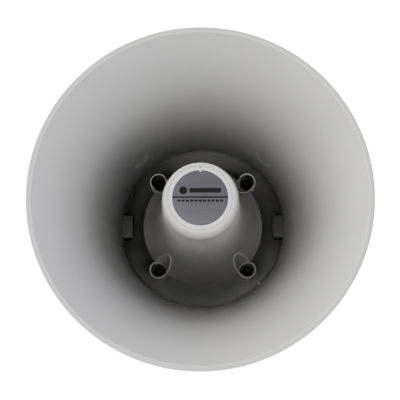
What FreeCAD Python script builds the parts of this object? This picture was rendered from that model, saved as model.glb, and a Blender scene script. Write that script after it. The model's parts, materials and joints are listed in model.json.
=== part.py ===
import FreeCAD, Part
import math
import os
from collections import namedtuple

import Sketcher
from FreeCAD import Vector as V

# Round re-entrant horn loudspeaker on a U bracket, in millimetres.
#
# The part stands with its bracket base against a wall: the wall face is y = 0, the centre bolt hole of
# the base is the origin, the horn points along -Y and +Z is up.
# Every piece of the horn is drawn in the horn's own frame, where X is the radius to the right, Y is the
# depth behind the mouth plane and Z is up. A Placement moves that frame back to the mouth plane.

SIZES = {
    # Driving dimensions of the whole speaker
    "mouth_offset": 290.0,          # wall face to mouth plane
    "pivot_depth": 172.0,           # mouth plane to tilt axis
    "fit_gap": 0.1,                 # radial play of screws in their threads and of rings in their seats
    # Bell
    "mouth_radius": 142.5,
    "lip_inner_radius": 138.0,
    "lip_length": 8.0,
    "lip_edge": 1.5,
    "lip_inner_edge": 0.9,
    "lip_root_radius": 134.9,
    "throat_radius": 75.0,
    "bell_depth": 178.0,
    "bell_wall": 2.8,
    "waist_depth": 60.0,
    "flare_rear_radius": 330.0,
    "flare_front_radius": 150.0,
    "bell_flange_radius": 83.0,
    "bell_flange_depth": 174.0,
    "tower_circle": 86.0,           # radius of the ring of screw towers
    "tower_radius": 7.0,
    "tower_top": 126.0,
    "tower_tip_radius": 3.0,
    "tower_web_top": 147.0,
    "tower_web_inner": 76.5,
    "tower_web_half": 5.0,
    "rib_top": 140.0,
    "rib_thickness": 2.0,
    "rib_inner": 76.6,
    "rib_top_inner": 77.5,
    "rib_outer": 82.0,
    "rib_root": 176.0,
    "rib_corner": 171.0,
    "pilot_top": 155.0,
    "pad_radius": 15.0,             # bosses that the bracket arms bear on
    "pad_inner": 76.0,
    "pad_face": 84.0,
    "block_inner": 65.0,            # inner blocks that back the pivot inserts
    "block_outer": 76.2,
    "block_half_height": 10.3,
    "block_top": 163.0,
    # Throat pan and its gaskets
    "pan_front": 180.0,
    "pan_rear": 184.0,
    "spigot_outer": 74.6,
    "spigot_inner": 72.4,
    "spigot_top": 173.5,
    "spigot_notch_half": 11.5,
    "pan_bore": 12.2,
    "pan_turn_run": 12.0,           # the floor curves up to the spigot, to turn the sound round
    "pan_turn_bend": 15.2,
    "ear_radius": 8.0,
    "pip_radius": 1.0,
    "pip_height": 0.8,
    "bell_gasket_inner": 75.4,
    "cover_gasket_inner": 61.5,
    "cover_gasket_outer": 69.5,
    "cover_gasket_rear": 185.5,
    # Reflector, the closed bullet that turns the sound back
    "face_depth": 11.0,
    "face_radius": 29.2,
    "shoulder_radius": 32.1,
    "shoulder_depth": 25.4,
    "shoulder_bend": 60.0,
    "front_corner_radius": 28.6,    # inside the shoulder
    "front_corner_bend": 4.0,
    "body_depth": 60.0,
    "body_radius": 33.0,
    "skirt_depth": 135.0,
    "skirt_radius": 42.0,
    "skirt_bend": 367.0,
    "rim_depth": 164.0,
    "rim_radius": 55.0,
    "rim_bend": 79.0,
    "reflector_wall": 2.4,
    "cap_seat_radius": 26.6,
    "cap_seat_depth": 14.4,
    "front_wall_depth": 17.0,
    "deflector_radius": 10.0,
    "deflector_tip": 28.0,
    "lug_circle": 58.0,             # radius of the ring of mounting lugs
    "lug_radius": 8.1,
    "lug_top": 158.0,
    "lug_pocket_radius": 6.6,
    "lug_seat": 172.0,
    "fairing_tip_circle": 43.2,
    "fairing_tip_depth": 138.0,
    "fairing_tip_radius": 1.2,
    "fairing_end_radius": 6.25,
    "fairing_end_depth": 166.0,
    "fairing_bow": 65.0,            # the pocket swells between its tip and its end
    "bead_width": 1.5,              # a low bead runs round each pocket
    "bead_height": 1.0,
    "bead_trim_lead": 10.0,
    "bead_trim_drop": 2.15,
    "bead_trim_end": 158.6,
    "bead_trim_end_radius": 51.5,
    # Reflector cap and nameplate
    "cap_radius": 26.4,
    "nameplate_radius": 23.1,
    "nameplate_seat_depth": 11.9,
    "nameplate_front": 11.25,
    "key_half_width": 0.7,
    "key_height": 1.3,
    "cap_dot_circle": 24.9,
    "cap_dot_radius": 0.7,
    "cap_dot_depth": 0.5,
    "cap_edge": 0.4,
    # Throat tube
    "tube_front": 42.0,
    "tube_front_bore": 16.5,
    "tube_rear_bore": 9.5,
    "tube_wall": 2.0,
    "tube_flange_radius": 28.0,
    "tube_flange_rear": 187.0,
    # Compression driver
    "driver_radius": 42.0,
    "plate_rear": 198.0,
    "plug_seat": 192.0,
    "plug_seat_bore": 15.0,
    "plug_radius": 20.0,
    "plug_hollow": 193.8,
    "plug_nose_depth": 189.0,
    "plug_nose_radius": 7.0,
    "plug_nose_flat": 2.8,
    "plug_rim": 1.0,
    "plug_bend": 70.0,
    "plug_hole_circle": 11.5,
    "plug_hole_radius": 1.6,
    "roll_relief_radius": 24.0,
    "roll_relief_depth": 195.8,
    "dome_radius": 17.9,
    "dome_bend": 60.0,
    "dome_thickness": 0.4,
    "coil_inner": 18.6,
    "coil_outer": 19.4,
    "coil_end": 206.9,
    "surround_inner": 20.0,
    "roll_inner": 20.4,
    "roll_outer": 23.4,
    "roll_bend": 1.7,
    "surround_outer": 27.0,
    "spacer_rear": 200.4,
    "gap_radius": 20.1,             # bore of the top plate round the voice coil
    "pole_radius": 17.9,
    "pole_front": 201.0,
    "pole_vent": 5.0,
    "top_plate_rear": 206.4,
    "magnet_inner": 28.0,
    "magnet_outer": 45.0,
    "magnet_rear": 220.4,
    "yoke_rear": 226.4,
    "driver_bolt_circle": 36.0,
    "driver_bolt_end": 204.0,
    "throat_screw_circle": 24.5,
    "throat_screw_end": 193.0,
    # Rear cover
    "cover_flange_radius": 70.0,
    "cover_flange_rear": 189.0,
    "cover_radius": 62.0,
    "cover_shoulder_radius": 57.0,
    "cover_shoulder_depth": 262.0,
    "cover_bend": 14.0,
    "cover_back_radius": 45.0,
    "cover_back": 275.0,
    "cover_wall": 3.0,
    "cover_boss_radius": 6.0,
    "cover_boss_rear": 200.0,
    "cover_rib_half": 1.2,
    "cover_rib_rise": 1.6,
    "insert_radius": 3.6,
    "insert_rear": 197.0,
    "label_half_width": 19.0,
    "label_half_height": 9.0,
    "label_height": -27.0,          # height of the rating label's centre
    "label_thickness": 0.3,
    # Power tap selector
    "selector_height": 30.0,
    "selector_well_radius": 10.5,
    "selector_boss_radius": 13.0,
    "selector_well_floor": 270.0,
    "selector_boss_front": 266.0,
    "selector_bore": 3.4,
    "selector_body_radius": 10.0,
    "selector_tag_offset": 7.0,
    "selector_tag_rise": 4.0,
    "selector_tag_half": 0.8,
    "selector_tag_thickness": 0.6,
    "selector_tag_length": 4.0,
    "selector_body_front": 252.0,
    "selector_shaft_radius": 3.0,
    "selector_shaft_front": 258.0,
    "knob_radius": 9.6,
    "knob_front": 270.5,
    "knob_rear": 274.6,
    "knob_slot_half": 1.2,
    "knob_slot_length": 13.0,
    "knob_slot_depth": 2.0,
    # Cable gland
    "gland_depth": 240.0,
    "gland_boss_radius": 11.5,
    "gland_face": 61.0,
    "gland_inner_face": 53.0,
    "gland_thread_radius": 6.0,
    "gland_bore": 4.0,
    "gland_hex_size": 19.0,
    "gland_hex_end": 66.0,
    "gland_neck_radius": 7.0,
    "gland_neck_end": 71.0,
    "gland_thread_end": 49.0,
    "gland_nut_end": 50.0,
    "gland_cap_radius": 9.2,
    "gland_cap_end": 80.0,
    "gland_cap_gap": 0.5,
    "gland_cap_round": 3.0,
    "gland_cap_bore": 3.6,
    "gland_seal_radius": 5.6,
    "gland_seal_end": 77.0,
    "gland_seal_bore": 3.0,
    # Line transformer and terminals
    "core_half_width": 18.0,
    "core_half_stack": 9.0,
    "core_front": 238.0,
    "core_rear": 266.0,
    "core_leg_half": 6.0,
    "core_window_outer": 13.0,
    "core_yoke": 5.0,
    "winding_half_stack": 15.5,
    "winding_clearance": 0.2,
    "strap_thickness": 1.2,
    "strap_half_height": 7.5,
    "strap_ear_end": 29.0,
    "strap_screw_offset": 24.5,
    "strap_boss_radius": 4.5,
    "rest_half_width": 12.0,
    "rest_half_height": 6.0,
    "terminal_half_width": 17.0,
    "terminal_low": -38.0,
    "terminal_high": -22.0,
    "terminal_front": 260.0,
    "terminal_pitch": 11.0,
    "terminal_screw_radius": 2.2,
    "terminal_screw_height": 6.0,
    "terminal_well_depth": 7.0,
    "terminal_slot_width": 0.8,
    "terminal_slot_reach": 3.0,
    "terminal_slot_depth": 0.8,
    # Bracket
    "arm_inner": 85.0,
    "bracket_thickness": 3.0,
    "bracket_bend": 5.0,
    "base_half_height": 20.0,
    "arm_end_radius": 16.0,
    "arm_taper_start": 20.0,
    "centre_hole_radius": 5.5,
    "slot_offset": 48.0,
    "slot_length": 20.0,
    "slot_width": 7.0,
    "arm_hole_radius": 4.3,
    # Pivot hardware, M8
    "bolt_radius": 4.0,
    "bolt_length": 20.0,
    "bolt_head_height": 5.3,
    "bolt_across_flats": 13.0,
    "pivot_insert_radius": 5.4,
    "pivot_insert_inner": 66.0,
    "washer_hole_radius": 4.2,
    "spacer_radius": 12.0,
    "flat_washer_radius": 9.0,
    "flat_washer_thickness": 1.6,
    "lock_washer_radius": 7.4,
    "lock_washer_thickness": 2.0,
    # Screws: shank radius, head radius, head height
    "reflector_screw_radius": 2.4,
    "reflector_screw_hole": 2.75,
    "reflector_screw_head": 4.4,
    "reflector_screw_head_height": 3.5,
    "reflector_screw_end": 196.0,
    "tower_screw_radius": 2.3,
    "tower_screw_head": 4.6,
    "tower_screw_head_height": 3.4,
    "tower_screw_end": 158.0,
    "driver_screw_radius": 2.0,
    "driver_screw_head": 3.8,
    "driver_screw_head_height": 2.5,
    "small_screw_radius": 1.5,
    "small_screw_head": 2.8,
    "small_screw_head_height": 2.0,
    "drive_slot_half": 0.6,         # screwdriver cross in every screw head
    "drive_depth": 1.4,
}

# Proportions that every pan head shares
CROWN_SHARE = 0.45              # height of the domed part of the head
CROWN_BEND = 2.2                # radius of the dome in crown heights
FLAT_SHARE = 0.6                # radius of the flat middle of the head
POINT_SHARE = 0.3               # radius of the blunt tip
POINT_LENGTH = 1.5              # length of the tapered tip of a self-tapping screw, in shank radii
DRIVE_REACH = 4                 # half length of a screwdriver slot, in half widths

DIAGONAL = 45.0
QUARTERS = 4
THIRDS = 3
EIGHTHS = 8
PLUG_HOLES = 12
SIDES = 2


class Size:
    """A dimension, held as its value and as the expression that gives it from the sheet."""

    def __init__(self, value, text):
        self.value = value
        self.text = text

    def __add__(self, other):
        return combine(self, other, "+", self.value + plain(other))

    def __radd__(self, other):
        return combine(other, self, "+", other + self.value)

    def __sub__(self, other):
        return combine(self, other, "-", self.value - plain(other))

    def __rsub__(self, other):
        return combine(other, self, "-", other - self.value)

    def __mul__(self, other):
        return combine(self, other, "*", self.value * plain(other))

    def __rmul__(self, other):
        return combine(other, self, "*", other * self.value)

    def __truediv__(self, other):
        return combine(self, other, "/", self.value / plain(other))

    def __neg__(self):
        return Size(-self.value, f"-({self.text})")


def plain(size):
    """The value of a Size or of a bare number."""
    return size.value if isinstance(size, Size) else size


def wording(size):
    """The expression of a Size or of a bare number."""
    return size.text if isinstance(size, Size) else repr(float(size))


def combine(first, second, sign, value):
    return Size(value, f"({wording(first)} {sign} {wording(second)})")


def root(size):
    return Size(math.sqrt(size.value), f"sqrt({size.text})")


class Sheet:
    """The spreadsheet of driving dimensions, read as attributes."""

    def __init__(self, document):
        self.sheet = document.addObject("Spreadsheet::Sheet", "Sizes")
        for row, (alias, value) in enumerate(SIZES.items(), start=1):
            self.sheet.set(f"A{row}", alias)
            self.sheet.set(f"B{row}", str(value))
            self.sheet.setAlias(f"B{row}", alias)

    def __getattr__(self, alias):
        return Size(SIZES[alias], f"Sizes.{alias}")


# --- Drawing outlines ---------------------------------------------------------------------------

Bow = namedtuple("Bow", "radius turn")


def left(radius):
    """The next edge is an arc that turns left."""
    return Bow(radius, 1)


def right(radius):
    """The next edge is an arc that turns right."""
    return Bow(radius, -1)


def arc_between(start, end, bow):
    """The minor arc from start to end, always drawn anticlockwise."""
    chord = end - start
    half = chord.Length / 2
    radius = plain(bow.radius)
    rise = math.sqrt(max(radius ** 2 - half ** 2, 0.0))
    normal = V(-chord.y, chord.x, 0).normalize()
    centre = (start + end) / 2 + normal * rise * bow.turn
    if bow.turn > 0:
        first, last = start - centre, end - centre
    else:
        first, last = end - centre, start - centre
    circle = Part.Circle(centre, V(0, 0, 1), radius)
    angle = math.atan2(first.y, first.x)
    sweep = (math.atan2(last.y, last.x) - angle) % (2 * math.pi)
    return Part.ArcOfCircle(circle, angle, angle + sweep)


def tie(sketch, geometry, position, point):
    """Fix one point of the sketch by its distances from the sketch's origin."""
    for kind, axis, size in (("DistanceX", -2, point[0]), ("DistanceY", -1, point[1])):
        if plain(size) == 0:
            sketch.addConstraint(Sketcher.Constraint("PointOnObject", geometry, position, axis))
            continue
        limits = (-1, 1, geometry, position, plain(size))
        bind(sketch, Sketcher.Constraint(kind, *limits), size)


def bind(sketch, constraint, size):
    """Add a dimension to the sketch and bind it to the sheet."""
    number = sketch.addConstraint(constraint)
    if isinstance(size, Size):
        sketch.setExpression(f"Constraints[{number}]", size.text)


def draw(sketch, outline):
    """Draw a closed outline of corners, with an arc wherever a Bow stands between two corners."""
    corners = []
    bows = {}
    for item in outline:
        if isinstance(item, Bow):
            bows[len(corners) - 1] = item
        else:
            corners.append(item)
    places = [V(plain(x), plain(y), 0) for x, y in corners]
    edges = []
    for index, start in enumerate(places):
        end = places[(index + 1) % len(places)]
        bow = bows.get(index)
        shape = arc_between(start, end, bow) if bow else Part.LineSegment(start, end)
        number = sketch.addGeometry(shape, False)
        ends = (2, 1) if bow and bow.turn < 0 else (1, 2)
        edges.append((number, *ends))
    for index, (number, start, end) in enumerate(edges):
        following = edges[(index + 1) % len(edges)]
        sketch.addConstraint(Sketcher.Constraint("Coincident", number, end, following[0], following[1]))
        tie(sketch, number, start, corners[index])
        if index in bows:
            radius = bows[index].radius
            bind(sketch, Sketcher.Constraint("Radius", number, plain(radius)), radius)


def draw_circle(sketch, centre, radius):
    place = V(plain(centre[0]), plain(centre[1]), 0)
    number = sketch.addGeometry(Part.Circle(place, V(0, 0, 1), plain(radius)), False)
    tie(sketch, number, 3, centre)
    bind(sketch, Sketcher.Constraint("Radius", number, plain(radius)), radius)


def box(low_x, low_y, high_x, high_y):
    """The outline of an upright rectangle."""
    return [(low_x, low_y), (high_x, low_y), (high_x, high_y), (low_x, high_y)]


def hexagon(centre_x, centre_y, across_flats):
    """The outline of a hexagon with two corners level with its centre."""
    half = across_flats / 2
    reach = across_flats * (1 / math.sqrt(3))
    return [
        (centre_x + reach, centre_y), (centre_x + reach / 2, centre_y + half),
        (centre_x - reach / 2, centre_y + half), (centre_x - reach, centre_y),
        (centre_x - reach / 2, centre_y - half), (centre_x + reach / 2, centre_y - half),
    ]


# --- Pieces and their features --------------------------------------------------------------------

class Piece:
    """One sub-part: a PartDesign body whose features are bound to the sheet."""

    def __init__(self, document, name, in_horn=True):
        self.document = document
        self.body = document.addObject("PartDesign::Body", name)
        self.body.Label = name
        self.roles = {item.Role: item for item in self.body.Origin.OriginFeatures}
        self.count = 0
        if in_horn:
            self.body.setExpression(".Placement.Base.y", "-(Sizes.mouth_offset)")

    def sketch(self, plane, offset=0.0, turn_axis=V(0, 0, 1), turn=0.0):
        """A sketch on an origin plane, moved along its normal and turned."""
        self.count += 1
        sketch = self.body.newObject("Sketcher::SketchObject", f"{self.body.Label}_sketch_{self.count}")
        sketch.AttachmentSupport = [(self.roles[plane], "")]
        sketch.MapMode = "FlatFace"
        place = V(0, 0, plain(offset))
        sketch.AttachmentOffset = FreeCAD.Placement(place, FreeCAD.Rotation(turn_axis, turn))
        if isinstance(offset, Size):
            sketch.setExpression(".AttachmentOffset.Base.z", offset.text)
        return sketch

    def lengthwise(self, outline, turn=0.0):
        """A sketch in a plane through the horn's axis: radius across, depth along."""
        sketch = self.sketch("XY_Plane", turn_axis=V(0, 1, 0), turn=turn)
        draw(sketch, outline)
        return sketch

    def crosswise(self, depth, turn=0.0):
        """An empty sketch square to the horn's axis at a depth, turned the same way as a lengthwise one."""
        return self.sketch("XZ_Plane", offset=-depth, turn=-turn)

    def feature(self, kind, profile):
        self.count += 1
        feature = self.body.newObject(kind, f"{self.body.Label}_feature_{self.count}")
        feature.Profile = profile
        return feature

    def turned(self, sketch, axis=None, cut=False):
        """Turn a sketch right round an axis, given as two points of the sketch."""
        feature = self.feature("PartDesign::Groove" if cut else "PartDesign::Revolution", sketch)
        if axis is None:
            feature.ReferenceAxis = (sketch, ["V_Axis"])
        else:
            places = [V(plain(x), plain(y), 0) for x, y in axis]
            line = sketch.addGeometry(Part.LineSegment(*places), True)
            tie(sketch, line, 1, axis[0])
            tie(sketch, line, 2, axis[1])
            feature.ReferenceAxis = (sketch, ["Axis0"])
        feature.Angle = 360
        return feature

    def padded(self, sketch, length, cut=False, deeper=False, both_ways=False):
        """Extrude or cut a sketch along its normal; deeper reverses that direction."""
        feature = self.feature("PartDesign::Pocket" if cut else "PartDesign::Pad", sketch)
        feature.Length = plain(length)
        if isinstance(length, Size):
            feature.setExpression("Length", length.text)
        feature.Reversed = deeper != cut
        if both_ways:
            feature.SideType = "Symmetric"
        return feature

    def around(self, feature, count, axis="Y_Axis"):
        """Repeat a feature at equal turns around an axis of the horn."""
        self.count += 1
        pattern = self.body.newObject("PartDesign::PolarPattern", f"{self.body.Label}_feature_{self.count}")
        pattern.Originals = [feature]
        pattern.Axis = (self.roles[axis], [""])
        pattern.Angle = 360
        pattern.Occurrences = count
        self.body.Tip = pattern
        return pattern


def beside_axis(offset):
    """An axis parallel to the sketch's vertical axis."""
    return ((offset, 1.0), (offset, 11.0))


def across_axis(offset):
    """An axis parallel to the sketch's horizontal axis."""
    return ((1.0, offset), (11.0, offset))


def ring(document, name, inner, outer, front, rear):
    """A plain ring about the horn's axis."""
    piece = Piece(document, name)
    piece.turned(piece.lengthwise(box(inner, front, outer, rear)))
    return piece


def drive_cross(piece, d, circle, face, turn, count, deeper):
    """The screwdriver cross in screw heads that stand on a ring."""
    reach = d.drive_slot_half * DRIVE_REACH
    for wide, tall in ((reach, d.drive_slot_half), (d.drive_slot_half, reach)):
        sketch = piece.crosswise(face, turn)
        draw(sketch, box(circle - wide, -tall, circle + wide, tall))
        piece.around(piece.padded(sketch, d.drive_depth, cut=True, deeper=deeper), count)


def ring_of_screws(document, d, name, circle, count, turn, radius, head, height, seat, end):
    """Identical pan-head screws on a ring, with heads on the mouth side of their seat."""
    piece = Piece(document, name)
    crown = height * CROWN_SHARE
    outline = [
        (circle, seat - height),
        (circle + head * FLAT_SHARE, seat - height), right(crown * CROWN_BEND),
        (circle + head, seat - height + crown),
        (circle + head, seat), (circle + radius, seat), (circle + radius, end - radius),
        (circle + radius * POINT_SHARE, end), (circle, end),
    ]
    turned = piece.turned(piece.lengthwise(outline, turn), beside_axis(circle))
    piece.around(turned, count)
    drive_cross(piece, d, circle, seat - height, turn, count, deeper=True)
    return piece


# --- Bell, throat pan and gaskets ----------------------------------------------------------------

def fall(radius, rise):
    """How far an arc falls back from its tangent over a rise."""
    return radius - root(radius * radius - rise * rise)


def flare_radius(d, depth, wall=0.0):
    """Radius of the bell's rear arc at a depth, on the inner surface or a wall outside it."""
    return d.throat_radius + wall + fall(d.flare_rear_radius - wall, d.bell_depth - depth)


def bell(document, d):
    piece = Piece(document, "bell")
    wall = d.bell_wall
    piece.turned(piece.lengthwise([
        (d.throat_radius, d.bell_depth), left(d.flare_rear_radius),
        (flare_radius(d, d.waist_depth), d.waist_depth), left(d.flare_front_radius),
        (d.lip_inner_radius, d.lip_inner_edge), left(d.lip_inner_edge),
        (d.lip_inner_radius + d.lip_inner_edge, 0),
        (d.mouth_radius - d.lip_edge, 0), left(d.lip_edge),
        (d.mouth_radius, d.lip_edge),
        (d.mouth_radius, d.lip_length),
        (d.lip_root_radius, d.lip_length), right(d.flare_front_radius - wall),
        (flare_radius(d, d.waist_depth, wall), d.waist_depth), right(d.flare_rear_radius - wall),
        (flare_radius(d, d.bell_flange_depth, wall), d.bell_flange_depth),
        (d.bell_flange_radius, d.bell_flange_depth),
        (d.bell_flange_radius, d.bell_depth),
    ]))

    # Screw towers at the diagonals, with webs that tie them to the wall
    tip = d.tower_circle + d.tower_tip_radius
    tower = piece.lengthwise([
        (d.tower_circle, d.tower_top), (tip, d.tower_top),
        (d.tower_circle + d.tower_radius, d.tower_top + d.tower_radius),
        (d.tower_circle + d.tower_radius, d.bell_depth), (d.tower_circle, d.bell_depth),
    ], DIAGONAL)
    piece.around(piece.turned(tower, beside_axis(d.tower_circle)), QUARTERS)
    web = piece.crosswise(d.bell_depth, DIAGONAL)
    draw(web, box(d.tower_web_inner, -d.tower_web_half, d.tower_circle, d.tower_web_half))
    piece.around(piece.padded(web, d.bell_depth - d.tower_web_top), QUARTERS)

    # Ribs between the rear flange and the wall, between towers and pivot bosses
    rib = piece.lengthwise([
        (d.rib_inner, d.rib_root), (d.rib_outer, d.rib_root), (d.rib_outer, d.rib_corner),
        (flare_radius(d, d.rib_top, wall), d.rib_top), (d.rib_top_inner, d.rib_top),
    ], DIAGONAL / 2)
    piece.around(piece.padded(rib, d.rib_thickness, both_ways=True), EIGHTHS)

    # Pivot bosses outside, left and right, cut off flat at the rear of the bell
    half = root(d.pad_radius * d.pad_radius - (d.bell_depth - d.pivot_depth) * (d.bell_depth - d.pivot_depth))
    boss = piece.sketch("YZ_Plane", offset=d.pad_inner)
    draw(boss, [
        (d.bell_depth, -half), (d.bell_depth, half), left(d.pad_radius),
        (d.pivot_depth - d.pad_radius, 0), left(d.pad_radius),
    ])
    piece.around(piece.padded(boss, d.pad_face - d.pad_inner), SIDES)

    # Inner blocks behind the pivot bosses
    block = piece.crosswise(d.bell_depth)
    draw(block, box(d.block_inner, -d.block_half_height, d.block_outer, d.block_half_height))
    piece.around(piece.padded(block, d.bell_depth - d.block_top), SIDES)

    # Pilot holes for the tower screws and blind holes for the pivot inserts
    pilot_outer = d.tower_circle + d.tower_screw_radius + d.fit_gap
    pilot = piece.lengthwise(box(d.tower_circle, d.pilot_top, pilot_outer, d.bell_depth + 1), DIAGONAL)
    piece.around(piece.turned(pilot, beside_axis(d.tower_circle), cut=True), QUARTERS)
    seat = piece.lengthwise(box(d.pivot_insert_inner, d.pivot_depth,
                                d.pad_face + 1, d.pivot_depth + d.pivot_insert_radius))
    piece.around(piece.turned(seat, across_axis(d.pivot_depth), cut=True), SIDES)
    return piece


def bell_gasket(document, d):
    return ring(document, "bell_gasket", d.bell_gasket_inner, d.bell_flange_radius, d.bell_depth, d.pan_front)


def throat_pan(document, d):
    piece = Piece(document, "throat_pan")
    turn_rise = fall(d.pan_turn_bend, d.pan_turn_run)
    piece.turned(piece.lengthwise([
        (d.pan_bore, d.pan_front), (d.spigot_inner - d.pan_turn_run, d.pan_front), right(d.pan_turn_bend),
        (d.spigot_inner, d.pan_front - turn_rise), (d.spigot_inner, d.spigot_top),
        (d.spigot_outer, d.spigot_top), (d.spigot_outer, d.pan_front),
        (d.bell_flange_radius, d.pan_front), (d.bell_flange_radius, d.pan_rear), (d.pan_bore, d.pan_rear),
    ]))
    ear = piece.crosswise(d.pan_front, DIAGONAL)
    draw(ear, [
        (d.spigot_outer, -d.ear_radius), (d.tower_circle, -d.ear_radius), left(d.ear_radius),
        (d.tower_circle + d.ear_radius, 0), left(d.ear_radius),
        (d.tower_circle, d.ear_radius), (d.spigot_outer, d.ear_radius),
    ])
    piece.around(piece.padded(ear, d.pan_rear - d.pan_front, deeper=True), QUARTERS)

    # A moulded pip on the spigot's rim at the lower right
    middle = (d.spigot_inner + d.spigot_outer) / 2
    pip = piece.lengthwise(box(middle, d.spigot_top - d.pip_height, middle + d.pip_radius, d.spigot_top + 1),
                           DIAGONAL)
    piece.turned(pip, beside_axis(middle))

    # The spigot is notched where the bell's inner blocks stand
    notch = piece.crosswise(d.spigot_top)
    draw(notch, box(d.block_inner, -d.spigot_notch_half, d.spigot_outer + 1, d.spigot_notch_half))
    piece.around(piece.padded(notch, d.pan_front - d.spigot_top, cut=True, deeper=True), SIDES)

    # Flat seats for the reflector's lugs where the floor begins to turn up
    seat = piece.lengthwise(box(d.lug_circle, d.spigot_top, d.lug_circle + d.lug_radius + d.fit_gap,
                                d.pan_front), DIAGONAL)
    piece.around(piece.turned(seat, beside_axis(d.lug_circle), cut=True), QUARTERS)

    rear = d.pan_rear + 1
    for circle, radius, count, turn in (
        (d.tower_circle, d.tower_screw_radius + 2 * d.fit_gap, QUARTERS, DIAGONAL),
        (d.lug_circle, d.reflector_screw_hole, QUARTERS, DIAGONAL),
        (d.throat_screw_circle, d.driver_screw_radius + 2 * d.fit_gap, THIRDS, 0.0),
    ):
        hole = piece.lengthwise(box(circle, d.spigot_top, circle + radius, rear), turn)
        piece.around(piece.turned(hole, beside_axis(circle), cut=True), count)
    return piece


def cover_gasket(document, d):
    return ring(document, "cover_gasket", d.cover_gasket_inner, d.cover_gasket_outer,
                d.pan_rear, d.cover_gasket_rear)


# --- Reflector, its cap and nameplate, and the throat tube ---------------------------------------

def reflector(document, d):
    piece = Piece(document, "reflector")
    wall = d.reflector_wall
    corner = d.front_corner_bend
    piece.turned(piece.lengthwise([
        (d.cap_seat_radius, d.face_depth), (d.face_radius, d.face_depth), left(d.shoulder_bend),
        (d.shoulder_radius, d.shoulder_depth), (d.body_radius, d.body_depth), right(d.skirt_bend),
        (d.skirt_radius, d.skirt_depth), right(d.rim_bend),
        (d.rim_radius, d.rim_depth), left(wall / 2),
        (d.rim_radius - wall * 0.85, d.rim_depth + wall * 0.35), left(d.rim_bend + wall),
        (d.skirt_radius - wall, d.skirt_depth + wall * 0.2), left(d.skirt_bend + wall),
        (d.body_radius - wall, d.body_depth), (d.shoulder_radius - wall, d.shoulder_depth),
        (d.front_corner_radius, d.front_wall_depth + corner), right(corner),
        (d.front_corner_radius - corner, d.front_wall_depth), (d.deflector_radius, d.front_wall_depth),
        (0, d.deflector_tip), (0, d.cap_seat_depth), (d.cap_seat_radius, d.cap_seat_depth),
    ]))

    # Beads round the teardrop pockets: slanting pods trimmed to a low step above the skirt
    tip = (d.fairing_tip_circle, d.fairing_tip_depth)
    end = (d.lug_circle, d.fairing_end_depth)
    pod = pod_half(tip, end, d.fairing_tip_radius + d.bead_width, d.fairing_end_radius + d.bead_width,
                   d.fairing_bow + d.bead_width)
    piece.around(piece.turned(piece.lengthwise(pod, DIAGONAL), (tip, end)), QUARTERS)
    clear = d.lug_circle + 2 * d.lug_radius
    bead = d.bead_height
    trim_start = d.skirt_depth - d.bead_trim_lead
    trim = piece.lengthwise([
        (d.skirt_radius - d.bead_trim_drop + bead, trim_start), right(d.skirt_bend - bead),
        (d.skirt_radius + bead, d.skirt_depth), right(d.rim_bend - bead),
        (d.bead_trim_end_radius + bead, d.bead_trim_end), (clear, d.bead_trim_end), (clear, trim_start),
    ])
    piece.turned(trim, cut=True)

    # Lugs that stand on the pan, each with a screw hole at the bottom of its pocket
    lug = piece.lengthwise(box(d.lug_circle, d.lug_top, d.lug_circle + d.lug_radius, d.pan_front), DIAGONAL)
    piece.around(piece.turned(lug, beside_axis(d.lug_circle)), QUARTERS)
    scoop = pod_half(tip, end, d.fairing_tip_radius, d.fairing_end_radius, d.fairing_bow)
    piece.around(piece.turned(piece.lengthwise(scoop, DIAGONAL), (tip, end), cut=True), QUARTERS)
    for radius, top, bottom in (
        (d.lug_pocket_radius, d.skirt_depth, d.lug_seat),
        (d.reflector_screw_hole, d.lug_seat - 1, d.pan_front + 1),
    ):
        hole = piece.lengthwise(box(d.lug_circle, top, d.lug_circle + radius, bottom), DIAGONAL)
        piece.around(piece.turned(hole, beside_axis(d.lug_circle), cut=True), QUARTERS)
    return piece


def pod_half(tip, end, tip_radius, end_radius, bow):
    """Half the outline of a swelling pod whose axis slants from tip to end."""
    across = end[0] - tip[0]
    along = end[1] - tip[1]
    length = root(across * across + along * along)
    return [
        tip, end,
        (end[0] + end_radius * along / length, end[1] - end_radius * across / length), right(bow),
        (tip[0] + tip_radius * along / length, tip[1] - tip_radius * across / length),
    ]


def reflector_cap(document, d):
    piece = Piece(document, "reflector_cap")
    edge = d.cap_edge
    piece.turned(piece.lengthwise([
        (0, d.nameplate_seat_depth), (d.nameplate_radius + d.fit_gap, d.nameplate_seat_depth),
        (d.nameplate_radius + d.fit_gap, d.face_depth), (d.cap_radius - edge, d.face_depth), left(edge),
        (d.cap_radius, d.face_depth + edge), (d.cap_radius, d.cap_seat_depth), (0, d.cap_seat_depth),
    ]))
    # A key that places the nameplate, and a small mould mark above it
    key_top = d.nameplate_radius + 1
    key = piece.crosswise(d.nameplate_seat_depth)
    draw(key, box(-d.key_half_width, d.nameplate_radius - d.key_height, d.key_half_width, key_top))
    piece.padded(key, d.nameplate_seat_depth - d.face_depth)
    mark = piece.crosswise(d.face_depth)
    draw_circle(mark, (0, d.cap_dot_circle), d.cap_dot_radius)
    piece.padded(mark, d.cap_dot_depth, cut=True, deeper=True)
    return piece


def nameplate(document, d):
    piece = Piece(document, "nameplate")
    plate = piece.crosswise(d.nameplate_seat_depth)
    draw_circle(plate, (0, 0), d.nameplate_radius)
    thickness = d.nameplate_seat_depth - d.nameplate_front
    piece.padded(plate, thickness)
    notch = piece.crosswise(d.nameplate_seat_depth)
    half = d.key_half_width + d.fit_gap
    draw(notch, box(-half, d.nameplate_radius - d.key_height - d.fit_gap, half, d.nameplate_radius + 1))
    piece.padded(notch, thickness, cut=True, deeper=False)
    return piece


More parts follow.
